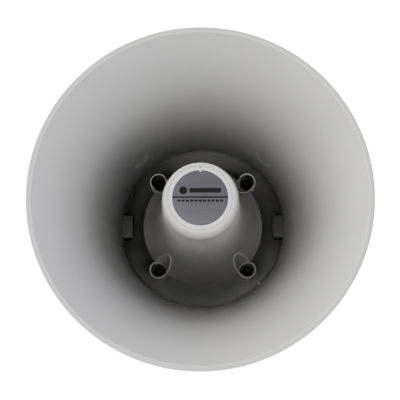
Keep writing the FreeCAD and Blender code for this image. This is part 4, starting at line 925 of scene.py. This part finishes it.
def lug_mesh(diagonal):
    """A hollow lug whose top follows the teardrop pocket's ramp."""
    turns = full_turn(120)
    spots = np.linspace(LUG_TOP, POCKET_SEAT - 1, 200)

    def top(radius):
        """Depth at which the lug's wall comes out of the ramp, for every turn about the lug."""
        along, away = scoop_place(LUG_CIRCLE + radius * np.cos(turns), radius * np.sin(turns), spots)
        inside = (away < scoop_girth(along / SCOOP_LENGTH)) & (along < SCOOP_LENGTH)
        return np.where(inside, spots, LUG_TOP).max(1)

    inner_top, outer_top = top(POCKET_RADIUS), top(LUG_RADIUS)
    turns = turns[:, 0]
    rows = []
    for radius, depth in (
        (LUG_HOLE, PAN_FRONT), (LUG_HOLE, POCKET_SEAT),
        (POCKET_RADIUS - POCKET_CORNER, POCKET_SEAT), (POCKET_RADIUS, POCKET_SEAT - POCKET_CORNER),
        (POCKET_RADIUS, inner_top + LUG_EDGE), (POCKET_RADIUS + LUG_CORNER, inner_top + LUG_CORNER),
        (POCKET_RADIUS + LUG_EDGE, inner_top * 0.6 + outer_top * 0.4),
        (LUG_RADIUS - LUG_EDGE, inner_top * 0.4 + outer_top * 0.6),
        (LUG_RADIUS - LUG_CORNER, outer_top + LUG_CORNER), (LUG_RADIUS, outer_top + LUG_EDGE),
        (LUG_RADIUS, PAN_FRONT),
    ):
        places = spun([(LUG_CIRCLE + radius * np.cos(turns), radius * np.sin(turns))], diagonal)
        x, z = places[0]
        rows.append(np.stack([x, np.broadcast_to(depth, turns.shape), z], -1))
    mesh = welded(grid_mesh("lug", to_row(np.stack(rows, 1))))
    radius, turn, _ = horn_points(mesh)
    turn = turn_from(turn, diagonal)
    from_axis = np.hypot(radius * np.cos(turn) - LUG_CIRCLE, radius * np.sin(turn))
    # The pocket bore gets a dark painted shade.
    set_painted_shade(mesh, POCKET_PAINTED_SHADE * (from_axis < POCKET_RADIUS + 0.05))
    return mesh


def build_reflector():
    skin = reflector_mesh()
    radius, turn, depth = horn_points(skin)
    relief = np.where((depth > SCOOP_START) & (depth < RIM[1]), radius - skin_radius(depth), 0)
    # Painted shade on the flank that deepens behind the face, lessened by painted light on the sides; the
    # scoops get a middling painted shade and the beads get none, a painted highlight.
    painted_shade = np.interp(depth, SKIN_PAINTED_SHADE_DEPTHS, SKIN_PAINTED_SHADE_SHARES) * (radius > RECESS_RADIUS + 0.2)
    painted_shade = painted_shade * (1 - SIDE_PAINTED_LIGHT * np.cos(turn)**2 * ramp(depth, 25.0, 35.0))
    set_painted_shade(skin, np.where(relief > 0.3, 0, np.where(relief < -0.4, SCOOP_PAINTED_SHADE, painted_shade)))
    mesh = joined("reflector_shell", [skin, *map(lug_mesh, DIAGONALS)])
    finish_mesh("reflector_shell", mesh, "reflector_abs", ["reflector"])


# --- Reflector cap and nameplate ---

KEY_HALF = 0.7
KEY_HEIGHT = 1.3
KEY_FIT = 0.1
DOT_CIRCLE = 25.5
DOT_RADIUS = 0.75
DOT_PAINTED_SHADE = 0.9
RECESS = PLATE_RADIUS + 0.12
PRINT_RISE = 0.02
LINE_HEIGHT = 0.5
LINE_WIDTH = 1.2
BAR = (4.2, 6.2, 26.0, 3.8)
EMBLEM_PLACE = (-14.0, 6.2)
EMBLEM_RADIUS = 3.3
DASHES = 11
DASH_PITCH = 3.5
DASH_LEVEL = -2.4
DASH_SIZE = (2.5, 1.7)


def build_cap():
    body = lathe_mesh(rounded([
        (0, PLATE_SEAT, 0), (RECESS, PLATE_SEAT, 0.1), (RECESS, FACE, 0.22), (CAP_RADIUS, FACE, 0.7),
        (CAP_RADIUS, RECESS_DEPTH, 0.2), (0, RECESS_DEPTH, 0),
    ], 4), 180)
    front, floor = FACE - 0.3, FACE + 1.4
    dot = [(0, front), (DOT_RADIUS, front), (DOT_RADIUS * 0.8, floor), (0, floor)]
    body = cut_with(body, [lathe_mesh(dot, 32, (0, DOT_CIRCLE))])
    # The floor of the sunk dot gets a dark painted shade.
    radius, turn, depth = horn_points(body)
    sunk = np.hypot(radius * np.cos(turn), radius * np.sin(turn) - DOT_CIRCLE) < DOT_RADIUS
    set_painted_shade(body, DOT_PAINTED_SHADE * (sunk & (depth > FACE + 0.5)))
    key = rectangle(-KEY_HALF, KEY_HALF, PLATE_RADIUS - KEY_HEIGHT, PLATE_RADIUS + 0.6)
    key = bevelled(slab("key", key, FACE + 0.05, PLATE_SEAT + 0.1), 0.12)
    finish_mesh("reflector_cap_disc", joined("cap", [body, key]), "cap_abs", ["reflector_cap"])


def centred_bar(x, z, width, height, low, high):
    outline = rectangle(x - width / 2, x + width / 2, z - height / 2, z + height / 2)
    return slab("bar", outline, low, high)


def build_nameplate():
    half = KEY_HALF + KEY_FIT
    low = PLATE_RADIUS - KEY_HEIGHT - KEY_FIT
    start = math.acos(half / PLATE_RADIUS)
    turns = np.linspace(math.pi - start, 2 * math.pi + start, 180)
    outline = on_circle(PLATE_RADIUS, turns) + [(half, low), (-half, low)]
    plate = slab("plate", outline, PLATE_FRONT, PLATE_SEAT)
    finish_mesh("nameplate_disc", bevelled(plate, 0.12), "nameplate_foil", ["nameplate"])

    ends = (PLATE_FRONT - PRINT_RISE, PLATE_FRONT + 0.01)
    reach = 2 * math.sqrt(PLATE_RADIUS**2 - LINE_HEIGHT**2) - 0.3
    bars = [centred_bar(0, LINE_HEIGHT, reach, LINE_WIDTH, *ends), centred_bar(*BAR, *ends)]
    bars.append(slab("emblem", on_circle(EMBLEM_RADIUS, full_turn(40)[:, 0], EMBLEM_PLACE), *ends))
    for dash in range(DASHES):
        x = (dash - (DASHES - 1) / 2) * DASH_PITCH
        bars.append(centred_bar(x, DASH_LEVEL, *DASH_SIZE, *ends))
    finish_mesh("nameplate_print", joined("print", bars), "nameplate_foil", look="print_ink")


# --- Throat pan and gaskets ---

SPIGOT_OUTER = 74.6
SPIGOT_INNER = 72.4
SPIGOT_TOP = 173.5
SEAM = THROAT_RADIUS - 0.06
NOTCH_HALF = 11.5
PAN_BORE = 12.2
TURN_RUN = 12.0
TURN_BEND = 15.2
EAR_RADIUS = 8.0
PIP_TURN = -math.pi / 4
PIP_RADIUS = 1.0
PIP_FRONT = SPIGOT_TOP - 0.75

# Painted light on the pan's floor, from 0 to 1, whose lack is painted shade: a little everywhere, and more
# in its upper and lower parts, where it also grows outwards.
PAN_PAINTED_LIGHT = 0.045
UPPER_PAINTED_LIGHT, UPPER_PAINTED_LIGHT_OUTWARD = 0.06, 0.12
UNDER_PAINTED_LIGHT, UNDER_PAINTED_LIGHT_OUTWARD = 0.02, 0.94
PAN_RIGHT_PAINTED_LIGHT = 0.3
RIM_PAINTED_LIGHT, RIM_UNDER_PAINTED_LIGHT = 0.45, 0.4
# An even painted shade on the pan's parts out of sight.
HIDDEN_PAINTED_SHADE = 0.7
RING_EDGE = 0.3


def paint_pan(mesh):
    radius, turn, depth = horn_points(mesh)
    outward = np.clip((radius - RIM[0]) / (SPIGOT_INNER - RIM[0]), 0, 1)
    upper = np.clip(np.sin(turn), 0, 1) ** 2
    lower = np.clip(-np.sin(turn), 0, 1) ** 2
    painted_light = PAN_PAINTED_LIGHT + upper * (UPPER_PAINTED_LIGHT + UPPER_PAINTED_LIGHT_OUTWARD * outward)
    painted_light = (painted_light + lower * (UNDER_PAINTED_LIGHT + UNDER_PAINTED_LIGHT_OUTWARD * outward)) * (1 + PAN_RIGHT_PAINTED_LIGHT * np.cos(turn))
    on_rim = radius > SPIGOT_INNER + 0.2
    painted_light = np.clip(np.where(on_rim, painted_light * (RIM_PAINTED_LIGHT + RIM_UNDER_PAINTED_LIGHT * lower), painted_light), 0, 1)
    # The pip is left unshaded: a painted highlight on the dark floor.
    on_pip = (depth < SPIGOT_TOP - 0.1) & (lower > 0.3)
    painted_light = np.where(on_pip, 1, painted_light)
    # The floor and spigot get painted shade, one minus the painted light; the parts out of sight get an
    # even painted shade.
    set_painted_shade(mesh, np.where((depth < PAN_FRONT + 1) & (radius < THROAT_RADIUS), 1 - painted_light, HIDDEN_PAINTED_SHADE))


def build_pan():
    turns = turn_samples(1.0, [(0.0, 10.5, 0.25), (math.pi, 10.5, 0.25)])
    turn_end = PAN_FRONT - TURN_BEND + math.sqrt(TURN_BEND**2 - TURN_RUN**2)
    turn_up = arc((SPIGOT_INNER - TURN_RUN, PAN_FRONT), (SPIGOT_INNER, turn_end), -TURN_BEND, 14)
    rim = rounded([
        (SPIGOT_INNER, turn_end, 0), (SPIGOT_INNER, SPIGOT_TOP, 0.35), (SEAM, SPIGOT_TOP, 0.3),
        (SEAM, PAN_FRONT, 0), (SEAM + 0.2, PAN_FRONT, 0), (FLANGE_RADIUS, PAN_FRONT, 0.4),
        (FLANGE_RADIUS, PAN_REAR, 0.5), (PAN_BORE, PAN_REAR, 0), (PAN_BORE, PAN_FRONT, 0),
    ], 5)
    radii, places = np.vstack([turn_up, rim[1:]]).T
    across = SPIGOT_INNER * np.sin(turns)
    standing = ramp(np.abs(across), NOTCH_HALF - 0.15, NOTCH_HALF + 0.25)
    depth = np.where(places < PAN_FRONT, PAN_FRONT - (PAN_FRONT - places) * standing, places)
    meshes = [grid_mesh("pan_disc", around(turns, np.broadcast_to(radii, depth.shape), depth))]
    tip = on_circle(EAR_RADIUS, np.linspace(-QUARTER, QUARTER, 28), (TOWER_CIRCLE, 0))
    ear = [(SPIGOT_OUTER, -EAR_RADIUS), *tip, (SPIGOT_OUTER, EAR_RADIUS)]
    for turn in DIAGONALS:
        meshes.append(bevelled(slab("ear", spun(ear, turn), PAN_FRONT, PAN_REAR), 0.4))
    root = SPIGOT_TOP + 1
    pip = rounded([(0, PIP_FRONT, 0), (PIP_RADIUS, PIP_FRONT, 0.35), (PIP_RADIUS, root, 0), (0, root, 0)])
    meshes.append(lathe_mesh(pip, 32, *on_circle((SPIGOT_INNER + SPIGOT_OUTER) / 2, [PIP_TURN])))
    mesh = joined("throat_pan_disc", meshes)
    paint_pan(mesh)
    finish_mesh("throat_pan_disc", mesh, "pan_abs", ["throat_pan"])


def build_ring(node):
    """A flat rubber ring about the horn's axis in the place of a CAD node."""
    inner, outer = ring_radii(node)
    front, rear = depths(node)
    section = [(radius, depth, RING_EDGE) for radius, depth in rectangle(inner, outer, front, rear)]
    path = rounded(section, 3)
    finish_mesh(node + "_ring", lathe_mesh(path, 180), "gasket_rubber", [node])


# --- Rear cover, label and selector ---

COVER_RADIUS = 62.0
COVER_SHOULDER = (57.0, 262.0)
COVER_BACK_RADIUS = 45.0
COVER_BEND = 14.0
COVER_FLANGE_REAR = 189.0
COVER_RIB_RISE = 1.6
COVER_FOOT = 0.8
WELL_RADIUS = 10.5
WELL_FLOOR = 270.0
WELL_EDGE = 0.9
BOSS_RADIUS = 11.5
BOSS_ROOT = 45.0
BOSS_FACE = -node_span("gland_body", 2)[0] - 10.0
LABEL_LINES = 4
LABEL_LINE_HALF = 0.42
KNOB_FRONT = 270.5
FLUTES = 24
FLUTE_DEPTH = 0.28
SLOT_HALF = 1.2
SLOT_LENGTH = 13.0
SLOT_DEPTH = 2.0


def cover_mesh():
    turns = turn_samples(1.25, [(turn, 2.2, 0.2) for turn in RIB_TURNS])
    radius, end = COVER_SHOULDER
    side_depth = depth_samples(COVER_FLANGE_REAR + 0.4, end, 3.0, [(end - 4, 4, 0.5)])
    from_flange = side_depth - COVER_FLANGE_REAR
    draft = (radius - COVER_RADIUS) / (end - COVER_FLANGE_REAR)
    side = COVER_RADIUS + draft * from_flange + COVER_FOOT * np.exp(-from_flange / COVER_FOOT)
    rise = COVER_RIB_RISE * ramp(end - side_depth, 0.0, 5.0)
    ribs = np.zeros((len(turns), 1))
    for turn in RIB_TURNS:
        across = np.abs(turn_from(turns, turn)) * COVER_RADIUS
        ribs = np.maximum(ribs, 1 - ramp(across, 0.9, 1.5))
    flange = profile([
        (COVER_RADIUS - 3, COVER_FRONT, 0), (COVER_FLANGE, COVER_FRONT, 0.4),
        (COVER_FLANGE, COVER_FLANGE_REAR, 0.8), (COVER_RADIUS + 1.6, COVER_FLANGE_REAR, 0),
    ], 5)
    shoulder = arc(COVER_SHOULDER, (COVER_BACK_RADIUS, COVER_BACK), COVER_BEND, 18)[1:]
    back = [(30.0, COVER_BACK), (15.0, COVER_BACK), (0.0, COVER_BACK), (0.0, COVER_BACK - 8),
            (COVER_RADIUS - 6, COVER_BACK - 20)]
    points = swept(turns, [
        flange, (side + rise * ribs, side_depth), shoulder.T, np.transpose(back),
    ])
    return welded(grid_mesh("cover_shell", points))


def build_cover():
    mouth = COVER_BACK - WELL_EDGE
    well = rounded([(0, WELL_FLOOR, 0), (WELL_RADIUS, WELL_FLOOR, 0.8), (WELL_RADIUS, mouth, 0)], 5)
    well += on_circle(WELL_EDGE, np.linspace(math.pi, QUARTER, 6)[1:], (WELL_RADIUS + WELL_EDGE, mouth))
    well += [(WELL_RADIUS + WELL_EDGE, COVER_BACK + 2), (0, COVER_BACK + 2)]
    shell = cut_with(cover_mesh(), [lathe_mesh(well, 96, (0, KNOB_HEIGHT))])
    radii, drops = profile([
        (0, BOSS_ROOT, 0), (BOSS_RADIUS, BOSS_ROOT, 0), (BOSS_RADIUS, BOSS_FACE, 0.8), (0, BOSS_FACE, 0),
    ])
    boss = welded(grid_mesh("boss", upright(full_turn(72), radii, drops), True, False))
    mesh = joined("rear_cover_shell", [shell, boss])
    finish_mesh("rear_cover_shell", mesh, "cover_abs", ["rear_cover"])


def build_label():
    low, high = node_span("rating_label", 2)
    half_height = (high - low) / 2
    middle = (high + low) / 2
    half = half_width("rating_label")
    rear = depths("rating_label")[1]
    plate = slab("label", rounded_box(half, half_height, 1.5, (0.0, middle)), COVER_BACK, rear)
    finish_mesh("rating_label_film", plate, "label_film", ["rating_label"])
    # Every line has two bars; their ends are shares of the half width and shift a little from line to line.
    bars = []
    for row in range(LABEL_LINES):
        z = middle + half_height * (0.6 - 0.36 * row)
        for start, end in ((-0.84, -0.25 + 0.07 * row), (-0.1 + 0.05 * row, 0.78 - 0.11 * row)):
            outline = rectangle(start * half, end * half, z - LABEL_LINE_HALF, z + LABEL_LINE_HALF)
            bars.append(slab("bar", outline, rear - 0.01, rear + 0.02))
    mesh = joined("rating_label_print", bars)
    finish_mesh("rating_label_print", mesh, "label_film", look="print_ink")


def build_knob():
    """A disc with a fluted rim and a pointed slot."""
    radius = half_width("selector_knob")
    rear = depths("selector_knob")[1]
    turns = full_turn(288)
    radii, places = profile([
        (0, KNOB_FRONT, 0), (radius, KNOB_FRONT, 0.4), (radius, rear, 0.7), (0, rear, 0),
    ], 5)
    flute = FLUTE_DEPTH * (0.5 - 0.5 * np.cos(turns * FLUTES)) * (radii > radius - 0.75)
    disc = welded(grid_mesh("knob", around(turns, radii - flute, places, (0.0, KNOB_HEIGHT)), True, False))
    low, high = KNOB_HEIGHT - SLOT_LENGTH / 2, KNOB_HEIGHT + SLOT_LENGTH / 2
    outline = rectangle(-SLOT_HALF, SLOT_HALF, low, high - SLOT_HALF)
    outline.insert(3, (0, high))
    mesh = bevelled(cut_with(disc, [slab("slot", outline, rear - SLOT_DEPTH, rear + 1)]), 0.12, 50)
    finish_mesh("selector_knob_disc", mesh, "knob_moulding", ["selector_knob"], body="selector")


# --- Cable gland ---

GLAND_START, GLAND_END = sorted(-edge for edge in node_span("gland_cap", 2))
GLAND_RADIUS = half_width("gland_cap")
GLAND_BORE = 3.6
GRIPS = 18
GRIP_DEPTH = 0.45
HEX_FLATS = 19.0
HEX_FACE = 61.0
HEX_BORE = 7.0
HEX_CHAMFER = 0.9


def upright(turns, radius, drop):
    """Row points about the gland's upright axis, at distances below the horn's axis."""
    x = radius * np.cos(turns)
    return to_row(np.stack([x, GLAND_DEPTH + radius * np.sin(turns), np.broadcast_to(-drop, x.shape)], -1))


def build_gland():
    turns = full_turn(288)
    radii, drops = profile([
        (GLAND_BORE, GLAND_START, 0), (GLAND_RADIUS, GLAND_START, 0.4), (GLAND_RADIUS, GLAND_END, 3.0),
        (GLAND_BORE + 0.6, GLAND_END, 0.3), (GLAND_BORE, GLAND_END - 0.6, 0),
    ], 8)
    grip = GRIP_DEPTH * (0.5 - 0.5 * np.cos(turns * GRIPS))**2
    grip = grip * ramp(drops, GLAND_START + 0.8, GLAND_START + 1.6)
    grip = grip * (1 - ramp(drops, GLAND_END - 4, GLAND_END - 2.6)) * (radii > GLAND_RADIUS - 2)
    cap = welded(grid_mesh("cap", upright(turns, radii - grip, drops)))
    finish_mesh("gland_cap_dome", cap, "gland_nylon", ["gland_cap"])

    turns = full_turn(144)
    end = GLAND_START - 0.5
    corner = HEX_FLATS / 2 / math.cos(SIXTH / 2)
    slope = HEX_CHAMFER * 0.6
    radii, drops = np.transpose([
        (HEX_BORE, HEX_FACE), (corner - HEX_CHAMFER, HEX_FACE), (corner, HEX_FACE + slope),
        (corner, end - slope), (corner - HEX_CHAMFER, end), (HEX_BORE, end),
    ])
    body = welded(grid_mesh("hex", upright(turns, np.minimum(radii, hexagon(turns, HEX_FLATS)), drops)))
    finish_mesh("gland_hex", body, "gland_nylon", ["gland_body"])


# --- Bracket and pivot hardware ---
# The bracket's depths are measured from the wall, in the row's frame.

THICK = 3.0
BEND = 5.0
BASE_HALF = 20.0
END_RADIUS = 16.0
CENTRE_HOLE = 5.5
BASE_SLOT_OFFSET = 48.0
BASE_SLOT = (10.0, 3.5)
ARM_HOLE = 4.3
ARM_ROOT = -BEND * 4
SPARE = 5.0
REACH = -MOUTH_Y - PIVOT_DEPTH
TIP = -(REACH + END_RADIUS)
WASHER_HOLE = 4.2
COIL_SPLIT = math.radians(4)
BOLT_FLATS = 13.0
SHANK_RADIUS = 4.0
SHANK_LENGTH = 20.0


def build_bracket():
    inner = ARM_OUTER - THICK
    tight = BEND - THICK
    right = on_circle(BEND, np.linspace(QUARTER, 0, 10), (ARM_OUTER - BEND, -BEND))
    right += [(ARM_OUTER, TIP), (inner, TIP)]
    right += on_circle(tight, np.linspace(0, QUARTER, 7), (inner - tight, -BEND))
    outline = right + [(-x, y) for x, y in right[::-1]]
    strip = welded(slab("strip", outline, -BASE_HALF, BASE_HALF, "z", 0.0))

    nose = on_circle(END_RADIUS, np.linspace(QUARTER, 3 * QUARTER, 48)[1:-1], (-REACH, 0))
    upper = [(ARM_ROOT, BASE_HALF), (-REACH, END_RADIUS)] + [point for point in nose if point[1] > 0.01]
    lower = [point for point in nose if point[1] < -0.01] + [(-REACH, -END_RADIUS), (ARM_ROOT, -BASE_HALF)]
    cutters = []
    width = ARM_OUTER + SPARE
    for side, half in ((1, upper), (-1, lower[::-1])):
        outside = side * (BASE_HALF + 2 * SPARE)
        waste = half + [(TIP, 0.0), (TIP - SPARE, 0.0), (TIP - SPARE, outside), (ARM_ROOT, outside)]
        cutters.append(slab("waste", waste, -width, width, "x", 0.0))
    pivots = on_circle(ARM_HOLE, full_turn(48)[:, 0], (-REACH, 0))
    cutters.append(slab("pivots", pivots, -width, width, "x", 0.0))
    holes = [on_circle(CENTRE_HOLE, full_turn(64)[:, 0])]
    for side in (-1, 1):
        holes.append(rounded_box(*BASE_SLOT, BASE_SLOT[1] - 1e-3, (side * BASE_SLOT_OFFSET, 0), 14))
    cutters += [slab("hole", hole, -THICK - 2, 2, "depth", 0.0) for hole in holes]
    mesh = bevelled(cut_with(strip, cutters), 0.45, 35)
    finish_mesh("bracket_strip", mesh, "bracket_steel", ["bracket"], body="bracket")


def side_piece(path, closed=True, segments=96, flats=None, offset=0.0):
    """The same turned piece on both pivots, from a path of (radius, distance from the middle plane)."""
    radii, places = np.transpose(path)
    turns = full_turn(segments)
    local = np.broadcast_to(radii, (segments, len(radii)))
    if flats is not None:
        local = np.minimum(local, hexagon(turns + offset, flats))
    meshes = []
    for side in (-1, 1):
        x = np.broadcast_to(side * places, local.shape)
        points = np.stack([x, PIVOT_DEPTH + local * np.cos(turns), local * np.sin(turns)], -1)
        meshes.append(welded(grid_mesh("side", to_row(points), True, closed)))
    return joined("sides", meshes)


def coil_mesh(side, outer, low, high):
    """A split spring washer."""
    rows = []
    for turn in np.linspace(COIL_SPLIT, 2 * math.pi - COIL_SPLIT, 90):
        section = rectangle(WASHER_HOLE, outer, low, high)
        rows.append([(side * place, PIVOT_DEPTH + radius * math.cos(turn), radius * math.sin(turn))
                     for radius, place in section])
    work = bmesh.new()
    mesh = grid_mesh("coil", to_row(rows), False, True)
    work.from_mesh(mesh)
    bmesh.ops.holes_fill(work, edges=[edge for edge in work.edges if edge.is_boundary])
    bmesh.ops.recalc_face_normals(work, faces=work.faces)
    work.to_mesh(mesh)
    work.free()
    return bevelled(mesh, 0.2)


def build_pivots():
    for node, slot, hole, edge in (
        ("pivot_spacers", "gasket_rubber", ARM_HOLE, 0.25),
        ("pivot_washers", "bolt_steel", WASHER_HOLE, 0.3),
    ):
        low, high = side_span(node)
        outer = side_radius(node)
        path = rounded([(hole, low, 0), (outer, low, edge), (outer, high, edge), (hole, high, 0)], 4)
        finish_mesh(node + "_discs", side_piece(path), slot, [node])

    low, high = side_span("pivot_lock_washers")
    outer = side_radius("pivot_lock_washers")
    coils = joined("coils", [coil_mesh(side, outer, low + 0.1, high - 0.1) for side in (-1, 1)])
    finish_mesh("pivot_lock_washer_coils", coils, "bolt_steel", ["pivot_lock_washers"])

    seat = high
    end = side_span("pivot_bolts")[1]
    corner = BOLT_FLATS / 2 / math.cos(SIXTH / 2)
    flats_level = side_radius("pivot_bolts") < corner - 0.3
    bolt = side_piece([
        (0, seat), (corner - 0.1, seat), (corner, seat + 0.2), (corner, end - 0.75),
        (corner - 1.1, end), (0, end),
    ], False, 144, BOLT_FLATS, 0.0 if flats_level else SIXTH / 2)
    start = seat - SHANK_LENGTH
    shank = side_piece([
        (0, start), (SHANK_RADIUS - 1, start), (SHANK_RADIUS, start + 1), (SHANK_RADIUS, seat), (0, seat),
    ], False, 64)
    finish_mesh("pivot_bolt_heads", joined("bolts", [bolt, shank]), "bolt_steel", ["pivot_bolts"])


build_bell()
build_reflector()
build_cap()
build_nameplate()
build_pan()
build_ring("bell_gasket")
build_ring("cover_gasket")
build_cover()
build_label()
build_knob()
build_gland()
build_bracket()
build_pivots()

for node in frame["nodes"].values():
    if not node.hide_render:
        node.data.set_sharp_from_angle(angle=math.radians(30))


# --- Floor, light and camera ---

FLOOR_DROP = 0.45
MOUTH = Vector((0, MOUTH_Y * MM, 0))
CAMERA_AZIMUTH = math.radians(0.9)
CAMERA_DROP = math.radians(10.2)
CAMERA_DISTANCE = 1.140
CAMERA_LENS = 126.2
AIM_DROP = 0.0039
DARK_CONE = math.radians(30)
BRIGHT_CONE = math.radians(90)
DARK_STRENGTH = 0.0
BRIGHT_STRENGTH = 7.4
BACK_STRENGTH = 2.6
SIDE_BIAS = 0.3
LEFT_BIAS = 0.42
BACKDROP_STRENGTH = 24.0
LEFT_TINT = (1.0, 1.0, 0.88)
RIGHT_TINT = (0.88, 0.85, 1.0)


def build_floor():
    work = bmesh.new()
    bmesh.ops.create_grid(work, x_segments=8, y_segments=8, size=4.0)
    floor = staged("floor", from_work("floor", work))
    floor.location = (0, 0, cad_low[2] - FLOOR_DROP)
    pale = Nodes(bpy.data.materials.new("floor_paint"))
    pale.coat(pale.noise(3.0), (0.86, 0.86, 0.86), (0.88, 0.88, 0.88))
    pale.shader.inputs["Roughness"].default_value = 0.9
    floor.data.materials.append(pale.owner)


def build_camera():
    data = bpy.data.cameras.new("camera")
    data.lens = CAMERA_LENS
    data.sensor_width = 36
    camera = staged("camera", data)
    away = Vector((math.sin(CAMERA_AZIMUTH) * math.cos(CAMERA_DROP),
                   -math.cos(CAMERA_AZIMUTH) * math.cos(CAMERA_DROP), -math.sin(CAMERA_DROP)))
    camera.location = MOUTH + away * CAMERA_DISTANCE
    aim = MOUTH - Vector((0, 0, AIM_DROP))
    camera.rotation_mode = "QUATERNION"
    camera.rotation_quaternion = (aim - camera.location).to_track_quat("-Z", "Y")
    bpy.context.scene.camera = camera


def build_world():
    """Soft studio surroundings: dark in front of the mouth, bright at the sides, and a white backdrop."""
    world = bpy.data.worlds.new("studio")
    sky = Nodes(world, "Background")
    place = sky.add("ShaderNodeTexCoord")
    parts = sky.add("ShaderNodeSeparateXYZ")
    sky.join(place, "Generated", parts, 0)
    forward = sky.spread(parts, "Y", DARK_STRENGTH, BRIGHT_STRENGTH,
                         -math.cos(DARK_CONE), -math.cos(BRIGHT_CONE), "SMOOTHSTEP")
    behind = sky.spread(parts, "Y", 1.0, BACK_STRENGTH / BRIGHT_STRENGTH, 0.05, 0.45, "SMOOTHSTEP")
    height = sky.product((parts, "Z"), (parts, "Z"))
    flank = sky.spread(*height, 1 + SIDE_BIAS, 1 - SIDE_BIAS, 0.0, 0.6)
    lean = sky.spread(parts, "X", 1 + LEFT_BIAS, 1 - LEFT_BIAS, -0.8, 0.8)
    strength = sky.product(*[(node, "Result") for node in (forward, behind, flank, lean)])
    sky.feed(*strength, "Strength")
    sides = sky.spread(parts, "X", 0.0, 1.0, -0.8, 0.8)
    tint = sky.add("ShaderNodeMix", data_type="RGBA")
    tint.inputs["A"].default_value = (*LEFT_TINT, 1)
    tint.inputs["B"].default_value = (*RIGHT_TINT, 1)
    sky.join(sides, "Result", tint, "Factor")
    sky.feed(tint, "Result", "Color")
    backdrop = sky.add("ShaderNodeBackground", Color=(1, 1, 1, 1), Strength=BACKDROP_STRENGTH)
    path = sky.add("ShaderNodeLightPath")
    chosen = sky.add("ShaderNodeMixShader")
    sky.join(path, "Is Camera Ray", chosen, "Fac")
    sky.join(sky.shader, "Background", chosen, 1)
    sky.join(backdrop, "Background", chosen, 2)
    sky.join(chosen, "Shader", sky.tree.nodes["World Output"], "Surface")
    bpy.context.scene.world = world


build_floor()
build_camera()
build_world()
